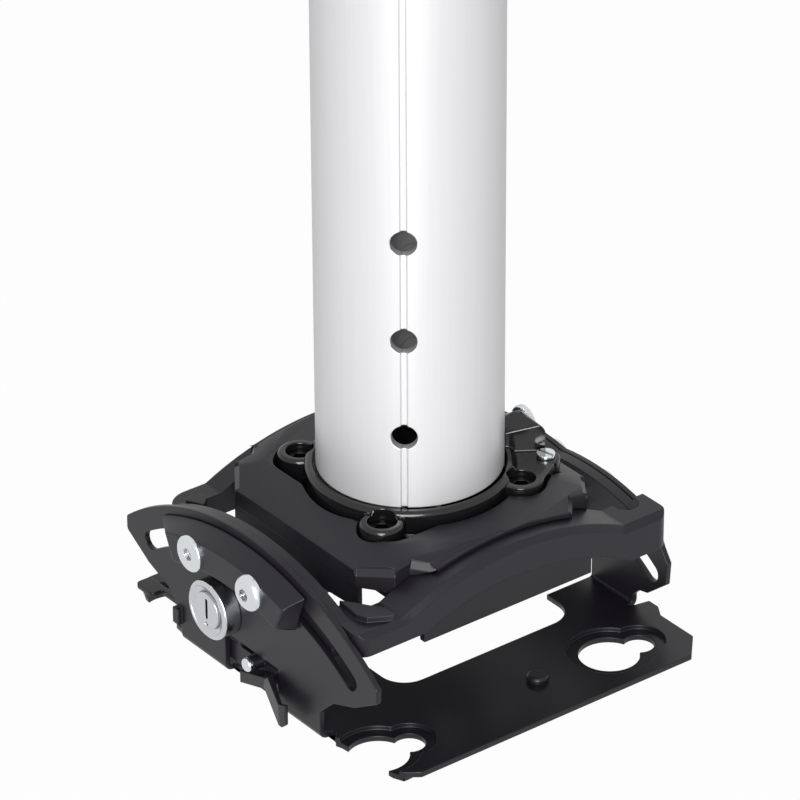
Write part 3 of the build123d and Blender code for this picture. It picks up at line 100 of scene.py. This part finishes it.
# Column's cross holes and the plugs in its far wall, in millimetres and degrees
HOLE_FIRST, HOLE_PITCH, HOLE_COUNT = 25.0, 34.0, 3
HOLE_D, HOLE_TURN = 8.3, -41.0
WALL_INNER_R, WALL_OUTER_R = 26.55, 29.96  # a little inside the wall's two faces

# Dark wall under the platform's near edge that paints shade in the gap to the cradle, in
# millimetres
SHADE_SKIRT_ENDS, SHADE_SKIRT_SIDES, SHADE_SKIRT_TOP = (-32.5, 32.5), (-45.4, -44.0), -14.7
SHADE_SKIRT_ARCH = 0.15  # share of its depth by which the foot rises at the ends
SHADE_SKIRT_STEPS = 61


# Sizes and colours that a user would change
class MountSizes(bpy.types.PropertyGroup):
    casting_edge: FloatProperty(
        name="Casting edge", description="Rounding of the collar's and the shoes' edges",
        default=0.5 * MM, min=0.0, subtype="DISTANCE", unit="LENGTH")
    thin_edge: FloatProperty(
        name="Thin edge", description="Rounding of castings with small facets",
        default=0.3 * MM, min=0.0, subtype="DISTANCE", unit="LENGTH")
    sheet_edge: FloatProperty(
        name="Sheet edge", description="Rounding of the punched sheet's edges",
        default=0.28 * MM, min=0.0, subtype="DISTANCE", unit="LENGTH")
    hardware_edge: FloatProperty(
        name="Hardware edge", description="Rounding of screws and nuts",
        default=0.2 * MM, min=0.0, subtype="DISTANCE", unit="LENGTH")
    column_edge: FloatProperty(
        name="Column edge", description="Rounding of the sawn column's edges",
        default=0.35 * MM, min=0.0, subtype="DISTANCE", unit="LENGTH")
    knurl_edge: FloatProperty(
        name="Knurl edge", description="Rounding of the thumb screw's flutes",
        default=0.12 * MM, min=0.0, subtype="DISTANCE", unit="LENGTH")
    powder_grain: FloatProperty(
        name="Powder grain", description="Size of the powder coat's orange peel",
        default=0.55 * MM, min=0.05 * MM, subtype="DISTANCE", unit="LENGTH")
    draw_line: FloatProperty(
        name="Draw line", description="Spacing of the extrusion's draw lines",
        default=0.8 * MM, min=0.05 * MM, subtype="DISTANCE", unit="LENGTH")
    # Depth of the dark wall that paints shade under the platform's near edge
    shade_skirt_depth: FloatProperty(
        name="Skirt depth", description="Depth of the rib under the platform's near edge",
        default=9.5 * MM, min=0.5 * MM, subtype="DISTANCE", unit="LENGTH")
    thread_pitch: FloatProperty(
        name="Thread pitch", description="Pitch of the pitch screws' threads",
        default=1.0 * MM, min=0.3 * MM, subtype="DISTANCE", unit="LENGTH")
    thread_depth: FloatProperty(
        name="Thread depth", description="Depth of the pitch screws' threads",
        default=0.45 * MM, min=0.0, subtype="DISTANCE", unit="LENGTH")
    socket_flats: FloatProperty(
        name="Socket flats", description="Width across the pitch screws' hex sockets",
        default=4.0 * MM, min=1.0 * MM, subtype="DISTANCE", unit="LENGTH")
    round_steps: IntProperty(
        name="Round steps", description="Steps round the turned pieces", default=96, min=24)


class MountColours(bpy.types.PropertyGroup):
    casting: StringProperty(
        name="Casting", description="Satin black powder coat on castings", default="#17151B")
    sheet: StringProperty(
        name="Sheet", description="Satin black powder coat on folded sheet", default="#141217")
    enamel: StringProperty(
        name="Enamel", description="Glossy black of the collar", default="#121113")
    column: StringProperty(
        name="Column", description="Satin anodised aluminium", default="#CCCCCE")
    zinc: StringProperty(
        name="Zinc", description="Bright zinc plate of the screws", default="#D5D8DA")
    chrome: StringProperty(
        name="Chrome", description="Polished chrome of the key lock", default="#C3C5C9")
    blackened: StringProperty(
        name="Blackened", description="Black oxide of the collar's screws", default="#2A2A2C")
    floor: StringProperty(
        name="Floor", description="Pale floor under the mount", default="#F2F2F2")


class MountStage(bpy.types.PropertyGroup):
    azimuth: FloatProperty(
        name="Azimuth", description="Direction that the camera looks from",
        default=radians(52.475), subtype="ANGLE", unit="ROTATION")
    elevation: FloatProperty(
        name="Elevation", description="Camera's height over the horizon",
        default=radians(29.788), subtype="ANGLE", unit="ROTATION")
    roll: FloatProperty(
        name="Roll", description="Camera's turn about its view",
        default=radians(-0.298), subtype="ANGLE", unit="ROTATION")
    lens: FloatProperty(
        name="Lens", description="Focal length on a sensor 36 mm wide",
        default=236.71, unit="CAMERA")
    place: FloatVectorProperty(
        name="Place", description="Camera's place",
        default=(1.13919, -0.87877, 0.84506), subtype="TRANSLATION", unit="LENGTH")
    key_power: FloatProperty(
        name="Key light", description="Power of the large softbox beside the camera",
        default=28.0, min=0.0, unit="POWER")
    fill_power: FloatProperty(
        name="Fill light", description="Power of the low softbox that lights the sides",
        default=7.0, min=0.0, unit="POWER")
    sky: FloatProperty(
        name="Sky", description="Strength of the even white surround", default=0.15, min=0.0)
    floor_glow: FloatProperty(
        name="Floor glow", description="Share of plain white in the floor as the camera sees it",
        default=0.97, min=0.0, max=1.0, subtype="FACTOR")
    floor_drop: FloatProperty(
        name="Floor drop", description="Floor's depth under the mount",
        default=160.0 * MM, subtype="DISTANCE", unit="LENGTH")


# Colours, nodes and finishes
def linear(code):
    """sRGB hex colour as linear red, green, blue and alpha."""
    channels = [int(code[i:i + 2], 16) / 255 for i in (1, 3, 5)]
    return [c / 12.92 if c <= 0.04045 else ((c + 0.055) / 1.055) ** 2.4 for c in channels] + [1.0]


def add_node(tree, kind, links=(), **settings):
    """Add a node; links are (input, output socket) pairs, settings are inputs or properties."""
    node = tree.nodes.new("ShaderNode" + kind)
    for key, value in settings.items():
        if hasattr(node, key):
            setattr(node, key, value)
        else:
            node.inputs[key.replace("_", " ")].default_value = value
    for target, source in links:
        tree.links.new(source, node.inputs[target])
    return node


def new_material(name):
    """Material with one Principled shader; returns it, its tree, shader and Object coordinates."""
    material = bpy.data.materials.new(name)
    material.use_nodes = True
    tree = material.node_tree
    place = add_node(tree, "TexCoord")
    return material, tree, tree.nodes["Principled BSDF"], place.outputs["Object"]


def powder_coat(name, code, roughness, grain, bump):
    """Powder coat: baked plastic skin with a fine orange peel that breaks its soft highlights.

    The grain has the size of a real peel's short waves, about half a millimetre.
    """
    material, tree, shader, place = new_material(name)
    shader.inputs["IOR"].default_value = 1.37
    peel = add_node(tree, "TexNoise", [("Vector", place)], Scale=1.0 / grain, Detail=3.0)
    cloud = add_node(tree, "TexNoise", [("Vector", place)], Scale=1.0 / (30.0 * MM), Detail=2.0)
    tint = add_node(tree, "ValToRGB", [("Fac", cloud.outputs["Fac"])])
    tint.color_ramp.elements[0].color = linear(code)
    tint.color_ramp.elements[1].color = [min(1.0, c * 1.25) for c in linear(code)]
    tree.links.new(tint.outputs["Color"], shader.inputs["Base Color"])
    gloss = add_node(
        tree, "MapRange", [("Value", peel.outputs["Fac"])],
        To_Min=roughness - 0.05, To_Max=roughness + 0.05)
    tree.links.new(gloss.outputs["Result"], shader.inputs["Roughness"])
    relief = add_node(
        tree, "Bump", [("Height", peel.outputs["Fac"])], Strength=bump, Distance=0.03 * MM)
    tree.links.new(relief.outputs["Normal"], shader.inputs["Normal"])
    return material


def gloss_enamel(name, code):
    """Glossy enamel on a casting: smooth wet-looking skin that mirrors the white surround."""
    material, tree, shader, place = new_material(name)
    wave = add_node(tree, "TexNoise", [("Vector", place)], Scale=1.0 / (2.5 * MM), Detail=1.0)
    shader.inputs["Base Color"].default_value = linear(code)
    shader.inputs["IOR"].default_value = 1.46
    gloss = add_node(
        tree, "MapRange", [("Value", wave.outputs["Fac"])], To_Min=0.12, To_Max=0.22)
    tree.links.new(gloss.outputs["Result"], shader.inputs["Roughness"])
    relief = add_node(
        tree, "Bump", [("Height", wave.outputs["Fac"])], Strength=0.15, Distance=0.05 * MM)
    tree.links.new(relief.outputs["Normal"], shader.inputs["Normal"])
    return material


def anodised(name, code, spacing):
    """Satin anodised extrusion: milky oxide over aluminium, with faint draw lines along it.

    Real draw lines are closer together; these are as close as still shows in the render.
    """
    material, tree, shader, place = new_material(name)
    shader.inputs["Metallic"].default_value = 0.4
    stretch = add_node(tree, "Mapping", [("Vector", place)], Scale=(1.0, 1.0, 0.01))
    lines = add_node(
        tree, "TexNoise", [("Vector", stretch.outputs["Vector"])], Scale=1.0 / spacing, Detail=4.0)
    tint = add_node(tree, "ValToRGB", [("Fac", lines.outputs["Fac"])])
    tint.color_ramp.elements[0].color = [c * 0.93 for c in linear(code)[:3]] + [1.0]
    tint.color_ramp.elements[1].color = linear(code)
    tree.links.new(tint.outputs["Color"], shader.inputs["Base Color"])
    gloss = add_node(
        tree, "MapRange", [("Value", lines.outputs["Fac"])], To_Min=0.36, To_Max=0.46)
    tree.links.new(gloss.outputs["Result"], shader.inputs["Roughness"])
    relief = add_node(
        tree, "Bump", [("Height", lines.outputs["Fac"])], Strength=0.12, Distance=0.02 * MM)
    tree.links.new(relief.outputs["Normal"], shader.inputs["Normal"])
    return material


def plated(name, code, low, high, blotch):
    """Bright plate on steel: a mirror-like metal whose gloss varies a little in blotches."""
    material, tree, shader, place = new_material(name)
    shader.inputs["Metallic"].default_value = 1.0
    shader.inputs["Base Color"].default_value = linear(code)
    patch = add_node(tree, "TexNoise", [("Vector", place)], Scale=1.0 / blotch, Detail=3.0)
    gloss = add_node(
        tree, "MapRange", [("Value", patch.outputs["Fac"])], To_Min=low, To_Max=high)
    tree.links.new(gloss.outputs["Result"], shader.inputs["Roughness"])
    return material


def finishes():
    """Every finish by its slot in the record, made once."""
    sizes, colours = bpy.context.scene.mount_sizes, bpy.context.scene.mount_colours
    recipes = (
        ("black_casting", "powder_coated_casting", powder_coat, dict(
            code=colours.casting, roughness=0.40, grain=sizes.powder_grain, bump=0.30)),
        ("black_sheet", "powder_coated_sheet_steel", powder_coat, dict(
            code=colours.sheet, roughness=0.36, grain=sizes.powder_grain, bump=0.22)),
        ("collar_enamel", "black_enamelled_casting", gloss_enamel, dict(code=colours.enamel)),
        ("column_aluminium", "satin_anodised_extrusion", anodised, dict(
            code=colours.column, spacing=sizes.draw_line)),
        ("bright_steel", "bright_zinc_plated_steel", plated, dict(
            code=colours.zinc, low=0.14, high=0.26, blotch=3.0 * MM)),
        ("knurled_steel", "knurled_zinc_plated_steel", plated, dict(
            code=colours.zinc, low=0.22, high=0.34, blotch=1.0 * MM)),
        ("lock_chrome", "polished_chrome_plate", plated, dict(
            code=colours.chrome, low=0.16, high=0.30, blotch=4.0 * MM)),
        ("blackened_steel", "black_oxide_on_steel", plated, dict(
            code=colours.blackened, low=0.30, high=0.42, blotch=2.0 * MM)),
    )
    known = bpy.data.materials
    return {slot: known.get(name) or make(name, **looks) for slot, name, make, looks in recipes}


# Pieces that stand for the solids
def slot_of(node):
    """The record's material slot of a node."""
    rows = frame["record"]["subparts"]
    return next(r["material_slot"] for r in rows if r["node"] == node)


def body_of(node):
    """The body that carries a node."""
    bodies = frame["record"]["behaviour"]["bodies"]
    return next(name for name, members in bodies.items() if node in members)


def wear_finish(piece, slot, finish=""):
    """Give a piece one finish, by default its slot's own."""
    piece.data.materials.clear()
    piece.data.materials.append(finishes()[finish or slot])


def carry(piece, node, finish=""):
    """Let a piece stand for a node: same body, same slot, and the node is hidden."""
    wear_finish(piece, slot_of(node), finish)
    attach(piece, body_of(node))
    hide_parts(node)


def add_object(name, data):
    """Object at the origin with the given mesh, light or camera."""
    item = bpy.data.objects.new(name, data)
    bpy.context.scene.collection.objects.link(item)
    return item


def softened(node, width, angle=32.0, segments=2, merge=0.002 * MM, finish=""):
    """Copy of a node's mesh with merged corners, flat faces joined and sharp edges rounded.

    Edges that turn by more than angle degrees are rounded. Facets within 0.6 degrees are one face.
    """
    work = bmesh.new()
    work.from_mesh(frame["nodes"][node].data)
    bmesh.ops.remove_doubles(work, verts=work.verts, dist=merge)
    bmesh.ops.dissolve_limit(
        work, angle_limit=radians(0.6), verts=work.verts, edges=work.edges)
    mesh = bpy.data.meshes.new(node + "_rounded")
    work.to_mesh(mesh)
    work.free()
    mesh.shade_smooth()
    piece = add_object(node + "_rounded", mesh)
    bevel = piece.modifiers.new("edges", "BEVEL")
    bevel.width = width
    bevel.segments = segments
    bevel.limit_method = "ANGLE"
    bevel.angle_limit = radians(angle)
    bevel.use_clamp_overlap = False
    bevel.miter_outer = "MITER_ARC"
    even = piece.modifiers.new("flat_faces_stay_flat", "WEIGHTED_NORMAL")
    even.mode = "FACE_AREA"
    even.weight = 100
    carry(piece, node, finish)


# Surfaces worked out as whole arrays
def in_mm(length):
    """A panel's length in millimetres, without the noise of its single precision."""
    return round(length / MM, 4)


def solid_of_rings(name, rings, closed=False):
    """Skin through equal rings of points, shape (count, around, 3), capped or joined end to end.

    Its faces point outwards where the rings run anticlockwise, seen from the last ring's side.
    """
    count, around, _ = rings.shape
    index = np.arange(count * around).reshape(count, around)
    a, b = index[:-1], index[1:]
    quads = np.stack([a, np.roll(a, -1, 1), np.roll(b, -1, 1), b], -1).reshape(-1, 4)
    ends = [index[0][::-1].tolist(), index[-1].tolist()]
    if closed:
        a, b = index[-1], index[0]
        ends = np.stack([a, np.roll(a, -1), np.roll(b, -1), b], -1).tolist()
    mesh = bpy.data.meshes.new(name)
    mesh.from_pydata(rings.reshape(-1, 3).tolist(), [], quads.tolist() + ends)
    mesh.update()
    return add_object(name, mesh)


def turned_rings(middle, profile, steps, hexes=(), thread=(0.0, 0.0)):
    """Rings round an axis along Y through middle, as an array (rows, steps, 3).

    The profile's rows are (r_i, y_i) in millimetres, and its outer side runs towards +Y. The
    angle t runs down from 360 degrees, so that faces point outwards. A row's radius is r_i, or
    for a row in hexes the hexagon's r_i / cos(((t + 30) mod 60) - 30) of half width r_i. A
    thread (pitch p, depth d) takes from rows of radius THREAD_R the triangle wave
    d * |2 * frac(y / p + t / 360) - 1|.
    """
    t = np.linspace(2 * np.pi, 0.0, steps, endpoint=False)[None, :]
    radius, y = np.array(profile, dtype=float).T[:, :, None] * np.ones((1, 1, steps))
    sixth = np.pi / 3
    hexagon = 1.0 / np.cos((t + sixth / 2) % sixth - sixth / 2)
    flat = np.isin(np.arange(len(profile)), hexes)[:, None]
    radius = np.where(flat, radius * hexagon, radius)
    pitch, depth = thread
    if pitch > 0:
        wave = np.abs(2 * np.mod(y / pitch + t / (2 * np.pi), 1.0) - 1)
        radius = np.where(np.isclose(radius, THREAD_R), THREAD_R - depth * wave, radius)
    x, z = middle.x + MM * radius * np.cos(t), middle.z + MM * radius * np.sin(t)
    return np.stack([x, MM * y, z], -1)


def turned_piece(node, rings, closed=False):
    """Turned piece that stands for its node: smooth round it, sharp where its profile turns."""
    piece = solid_of_rings(node + "_turned", rings, closed)
    piece.data.shade_smooth()
    piece.data.set_sharp_from_angle(angle=radians(34.0))
    carry(piece, node)


def pitch_screw(node, rise, face):
    """Pitch screw with a hex socket and a rolled thread, in its node's box.

    In millimetres, the head is rise high and face lists its (radius, back from the front). The
    socket goes a little deeper than half the head.
    """
    sizes = bpy.context.scene.mount_sizes
    low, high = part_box(node)
    front, tail = low.y / MM, high.y / MM
    seat = front + rise
    half = in_mm(sizes.socket_flats) / 2
    pitch, depth = in_mm(sizes.thread_pitch), in_mm(sizes.thread_depth)
    floor = front + 0.6 * rise + 0.6
    profile = [(0.05, floor + SOCKET_POINT), (half, floor)]
    profile += [(half, front + SOCKET_RIM), (half + SOCKET_RIM, front)]
    profile += [(radius, front + back) for radius, back in face]
    profile += [(HEAD_R, seat), (SHANK_R, seat), (SHANK_R - 0.02, seat + 0.1)]
    profile += [(THREAD_R, y) for y in np.arange(seat + 0.3, tail - 0.6, pitch / THREAD_ROWS)]
    profile += [(radius, tail - back) for radius, back in SCREW_TIP]
    turned_piece(node, turned_rings(
        (low + high) / 2, profile, sizes.round_steps, hexes=(1, 2), thread=(pitch, depth)))


def lock_bezel(node, plug):
    """Lock body: a dished bezel round the plug, a rounded lip, a long side and a narrower neck.

    Its profile is in millimetres and goes forward in the bore, outwards over the face and back.
    """
    low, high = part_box(node)
    plug_low, plug_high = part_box(plug)
    front, tail = low.y / MM, high.y / MM
    outer = (high.x - low.x) / 2 / MM
    bore = (plug_high.z - plug_low.z) / 2 / MM + PLUG_PLAY
    seat = front + BEZEL_DEPTH
    profile = [(bore, tail - 0.2)]
    profile += [(bore + out, front + back) for out, back in BEZEL_DISH]
    profile += [(outer - inwards, front + back) for inwards, back in BEZEL_LIP]
    profile += [(outer, seat - 0.25), (outer - 0.2, seat), (NECK_R, seat), (NECK_R, seat + 0.1)]
    profile += [(NECK_R, tail - 0.3), (NECK_R - 0.3, tail), (bore + 0.1, tail)]
    steps = bpy.context.scene.mount_sizes.round_steps
    turned_piece(node, turned_rings((low + high) / 2, profile, steps), closed=True)


def platform_shade_skirt():
    """Painted shade under the platform's near edge: a dark wall that darkens the gap to the
    cradle.

    The wall stands between two planes across Y and is swept along X.

    In millimetres its foot follows z(s) = foot + SHADE_SKIRT_ARCH * (top - foot) * s ** 2, where s
    runs from -1 to 1 along X.
    """
    foot = SHADE_SKIRT_TOP - in_mm(bpy.context.scene.mount_sizes.shade_skirt_depth)
    s = np.linspace(-1.0, 1.0, SHADE_SKIRT_STEPS)
    x = SHADE_SKIRT_ENDS[0] + (SHADE_SKIRT_ENDS[1] - SHADE_SKIRT_ENDS[0]) * (s + 1) / 2
    low = foot + SHADE_SKIRT_ARCH * (SHADE_SKIRT_TOP - foot) * s ** 2
    near, far, high = (np.full(SHADE_SKIRT_STEPS, value) for value in (*SHADE_SKIRT_SIDES, SHADE_SKIRT_TOP))
    corners = [(x, near, low), (x, far, low), (x, far, high), (x, near, high)]
    rings = MM * np.stack([np.stack(corner, -1) for corner in corners], 1)
    shade_skirt = solid_of_rings("platform_shade_skirt", rings)
    wear_finish(shade_skirt, "black_casting")
    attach(shade_skirt, body_of("platform"))


def hole_plugs():
    """Shallow curved plugs in the column's far holes, because the real drill stops short of them.

    In millimetres a plug's face is (r cos(a + v / r), r sin(a + v / r), z + w), with (v, w) on a
    disc of the drill's size. Its rings go out on the wall's inner face and back on the outer one.
    """
    steps = bpy.context.scene.mount_sizes.round_steps
    turn = np.linspace(0.0, 2 * np.pi, steps, endpoint=False)
    reach = np.array([0.02, 0.5, 0.995, 0.995, 0.5, 0.02])[:, None] * HOLE_D / 2
    radius = np.repeat([WALL_INNER_R, WALL_OUTER_R], 3)[:, None]
    around = radians(HOLE_TURN) + np.pi + reach * np.cos(turn) / radius
    rings = np.stack(
        [radius * np.cos(around), radius * np.sin(around), reach * np.sin(turn)], -1)
    for i in range(HOLE_COUNT):
        lift = np.array([0.0, 0.0, HOLE_FIRST + HOLE_PITCH * i])
        plug = solid_of_rings(f"far_hole_plug_{i + 1}", MM * (rings + lift))
        wear_finish(plug, "column_aluminium")
        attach(plug, body_of("column"))


# Floor, surround, lamps and camera
def white_to_camera(tree, plain, white=1.0):
    """Light Path switch: white for camera, glossy and transmission rays, else plain."""
    path = add_node(tree, "LightPath").outputs
    seen = add_node(
        tree, "Math", [(0, path["Is Camera Ray"]), (1, path["Is Glossy Ray"])],
        operation="MAXIMUM")
    clear = add_node(
        tree, "Math", [(0, seen.outputs["Value"]), (1, path["Is Transmission Ray"])],
        operation="MAXIMUM")
    level = add_node(
        tree, "MapRange", [("Value", clear.outputs["Value"])], To_Min=plain, To_Max=white)
    return level.outputs["Result"]


def make_floor(stage):
    """Wide square under the mount, white to the camera with the mount's faint shadow."""
    half, low = 3.0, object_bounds()[0].z - stage.floor_drop
    corners = [(-half, -half, low), (half, -half, low), (half, half, low), (-half, half, low)]
    mesh = bpy.data.meshes.new("floor")
    mesh.from_pydata(corners, [], [(0, 1, 2, 3)])
    floor = add_object("floor", mesh)
    material, tree, shader, _ = new_material("pale_matt_floor")
    shader.inputs["Base Color"].default_value = linear(bpy.context.scene.mount_colours.floor)
    shader.inputs["Roughness"].default_value = 0.9
    glow = add_node(tree, "Emission", Color=(1.0, 1.0, 1.0, 1.0))
    share = white_to_camera(tree, 0.0, stage.floor_glow)
    mix = add_node(tree, "MixShader", [
        ("Fac", share), (1, shader.outputs["BSDF"]), (2, glow.outputs["Emission"])])
    tree.links.new(mix.outputs["Shader"], tree.nodes["Material Output"].inputs["Surface"])
    mesh.materials.append(material)
    floor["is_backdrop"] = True


def make_surround(stage):
    """Even white world that lights from all round."""
    world = bpy.data.worlds.new("white_surround")
    world.use_nodes = True
    tree = world.node_tree
    background = tree.nodes["Background"]
    background.inputs["Color"].default_value = (1.0, 1.0, 1.0, 1.0)
    tree.links.new(white_to_camera(tree, stage.sky), background.inputs["Strength"])
    bpy.context.scene.world = world


def make_lamp(name, place, size, power):
    """Square softbox that faces the mount's collar."""
    light = bpy.data.lights.new(name, "AREA")
    light.size = size
    light.energy = power
    lamp = add_object(name, light)
    lamp.location = place
    lamp.rotation_euler = (-Vector(place)).to_track_quat("-Z", "Y").to_euler()


def make_camera(stage):
    """Camera whose axes are worked out from its azimuth, elevation and roll."""
    a, e, r = stage.azimuth, stage.elevation, stage.roll
    back = np.array([sin(a) * cos(e), -cos(a) * cos(e), sin(e)])
    side = np.array([cos(a), sin(a), 0.0])
    up = np.cross(back, side)
    axes = np.column_stack([cos(r) * side + sin(r) * up, -sin(r) * side + cos(r) * up, back])
    data = bpy.data.cameras.new("photo_camera")
    data.lens = stage.lens
    data.sensor_width = 36.0
    data.clip_end = 20.0
    camera = add_object("photo_camera", data)
    camera.matrix_world = Matrix.Translation(stage.place) @ Matrix(axes.tolist()).to_4x4()
    bpy.context.scene.camera = camera


# One operator for each piece or group of like pieces
class MountOperator:
    """Shared settings of the mount's operators."""
    bl_options = {"REGISTER", "UNDO"}


class MOUNT_OT_column(MountOperator, bpy.types.Operator):
    """Column, its foot ring and the foot's screws"""
    bl_idname = "mount.column"
    bl_label = "Column"

    def execute(self, context):
        sizes = context.scene.mount_sizes
        softened("column", sizes.column_edge, angle=40.0)
        hole_plugs()
        for node in ("column_foot", "foot_screws"):
            softened(node, sizes.hardware_edge)
        return {"FINISHED"}


class MOUNT_OT_collar(MountOperator, bpy.types.Operator):
    """Enamelled collar with its screws, nuts and the pad's small screw"""
    bl_idname = "mount.collar"
    bl_label = "Collar"

    def execute(self, context):
        sizes = context.scene.mount_sizes
        softened("collar", sizes.casting_edge, angle=28.0, segments=3)
        softened("collar_screws", sizes.hardware_edge, finish="blackened_steel")
        for node in ("collar_nuts", "pad_screw"):
            softened(node, sizes.hardware_edge)
        return {"FINISHED"}


class MOUNT_OT_knob(MountOperator, bpy.types.Operator):
    """Knurled thumb screw"""
    bl_idname = "mount.knob"
    bl_label = "Thumb screw"

    def execute(self, context):
        softened("thumb_knob", context.scene.mount_sizes.knurl_edge, angle=35.0)
        return {"FINISHED"}


class MOUNT_OT_platform(MountOperator, bpy.types.Operator):
    """Platform casting with its roll clamp and bolts"""
    bl_idname = "mount.platform"
    bl_label = "Platform"

    def execute(self, context):
        sizes = context.scene.mount_sizes
        softened("platform", sizes.thin_edge, angle=24.0, segments=3, merge=0.05 * MM)
        # Dark wall under the platform's near edge: painted shade in the gap to the cradle
        platform_shade_skirt()
        softened("roll_clamp", sizes.sheet_edge)
        softened("roll_bolts", sizes.hardware_edge)
        return {"FINISHED"}


class MOUNT_OT_cradle(MountOperator, bpy.types.Operator):
    """Cradle casting"""
    bl_idname = "mount.cradle"
    bl_label = "Cradle"

    def execute(self, context):
        edge = context.scene.mount_sizes.thin_edge
        softened("cradle", edge, angle=24.0, segments=3, merge=0.05 * MM)
        return {"FINISHED"}


class MOUNT_OT_shoes(MountOperator, bpy.types.Operator):
    """Pitch shoes with their screws and nuts"""
    bl_idname = "mount.shoes"
    bl_label = "Pitch shoes"

    def execute(self, context):
        sizes = context.scene.mount_sizes
        for node in ("near_shoe", "far_shoe"):
            softened(node, sizes.casting_edge, angle=20.0, segments=3)
        for node in ("near_nuts", "far_screws", "far_nuts"):
            softened(node, sizes.hardware_edge)
        pitch_screw("near_flat_screw", FLAT_RISE, FLAT_FACE)
        turn = np.radians(np.arange(0, 91, 10))
        dome = zip(HEAD_R - DOME_R + DOME_R * np.sin(turn), DOME_R * (1 - np.cos(turn)))
        pitch_screw("near_dome_screw", DOME_RISE, dome)
        return {"FINISHED"}


class MOUNT_OT_bracket(MountOperator, bpy.types.Operator):
    """Folded pitch bracket with its keyhole plate and studs"""
    bl_idname = "mount.bracket"
    bl_label = "Pitch bracket"

    def execute(self, context):
        for node in ("pitch_bracket", "plate_studs"):
            softened(node, context.scene.mount_sizes.sheet_edge)
        return {"FINISHED"}


class MOUNT_OT_lock(MountOperator, bpy.types.Operator):
    """Key lock with its nut, plug and cam"""
    bl_idname = "mount.lock"
    bl_label = "Key lock"

    def execute(self, context):
        for node in ("lock_nut", "lock_plug", "lock_cam"):
            softened(node, context.scene.mount_sizes.hardware_edge)
        lock_bezel("lock_body", "lock_plug")
        return {"FINISHED"}


class MOUNT_OT_latch(MountOperator, bpy.types.Operator):
    """Latch slide and its rivet"""
    bl_idname = "mount.latch"
    bl_label = "Latch"

    def execute(self, context):
        softened("latch_slide", context.scene.mount_sizes.sheet_edge)
        softened("latch_rivet", context.scene.mount_sizes.hardware_edge)
        return {"FINISHED"}


class MOUNT_OT_stage(MountOperator, bpy.types.Operator):
    """Pale floor, even surround, two softboxes and the camera"""
    bl_idname = "mount.stage"
    bl_label = "Stage"

    def execute(self, context):
        stage = context.scene.mount_stage
        make_floor(stage)
        make_surround(stage)
        make_lamp("key_softbox", place=(1.12, -0.95, 0.75), size=0.8, power=stage.key_power)
        make_lamp("fill_softbox", place=(1.10, -0.95, 0.0), size=0.35, power=stage.fill_power)
        make_camera(stage)
        context.scene.view_settings.view_transform = "Standard"
        return {"FINISHED"}


PIECES = (
    MOUNT_OT_column,
    MOUNT_OT_collar,
    MOUNT_OT_knob,
    MOUNT_OT_platform,
    MOUNT_OT_cradle,
    MOUNT_OT_shoes,
    MOUNT_OT_bracket,
    MOUNT_OT_lock,
    MOUNT_OT_latch,
    MOUNT_OT_stage,
)


class MOUNT_PT_panel(bpy.types.Panel):
    """Sidebar list of the mount's pieces, sizes and colours"""
    bl_idname = "MOUNT_PT_panel"
    bl_label = "Projector ceiling mount"
    bl_space_type = "VIEW_3D"
    bl_region_type = "UI"
    bl_category = "Mount"

    def draw(self, context):
        scene = context.scene
        for operator in PIECES:
            self.layout.operator(operator.bl_idname)
        for group in (scene.mount_sizes, scene.mount_colours, scene.mount_stage):
            for key in group.__annotations__:
                self.layout.prop(group, key)


CLASSES = (MountSizes, MountColours, MountStage, *PIECES, MOUNT_PT_panel)


def register():
    for item in CLASSES:
        bpy.utils.register_class(item)
    bpy.types.Scene.mount_sizes = PointerProperty(type=MountSizes)
    bpy.types.Scene.mount_colours = PointerProperty(type=MountColours)
    bpy.types.Scene.mount_stage = PointerProperty(type=MountStage)


def unregister():
    del bpy.types.Scene.mount_stage
    del bpy.types.Scene.mount_colours
    del bpy.types.Scene.mount_sizes
    for item in reversed(CLASSES):
        bpy.utils.unregister_class(item)


def main():
    """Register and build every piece."""
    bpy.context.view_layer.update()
    register()
    for operator in PIECES:
        group, name = operator.bl_idname.split(".")
        getattr(getattr(bpy.ops, group), name)()


if __name__ == "__main__":
    main()
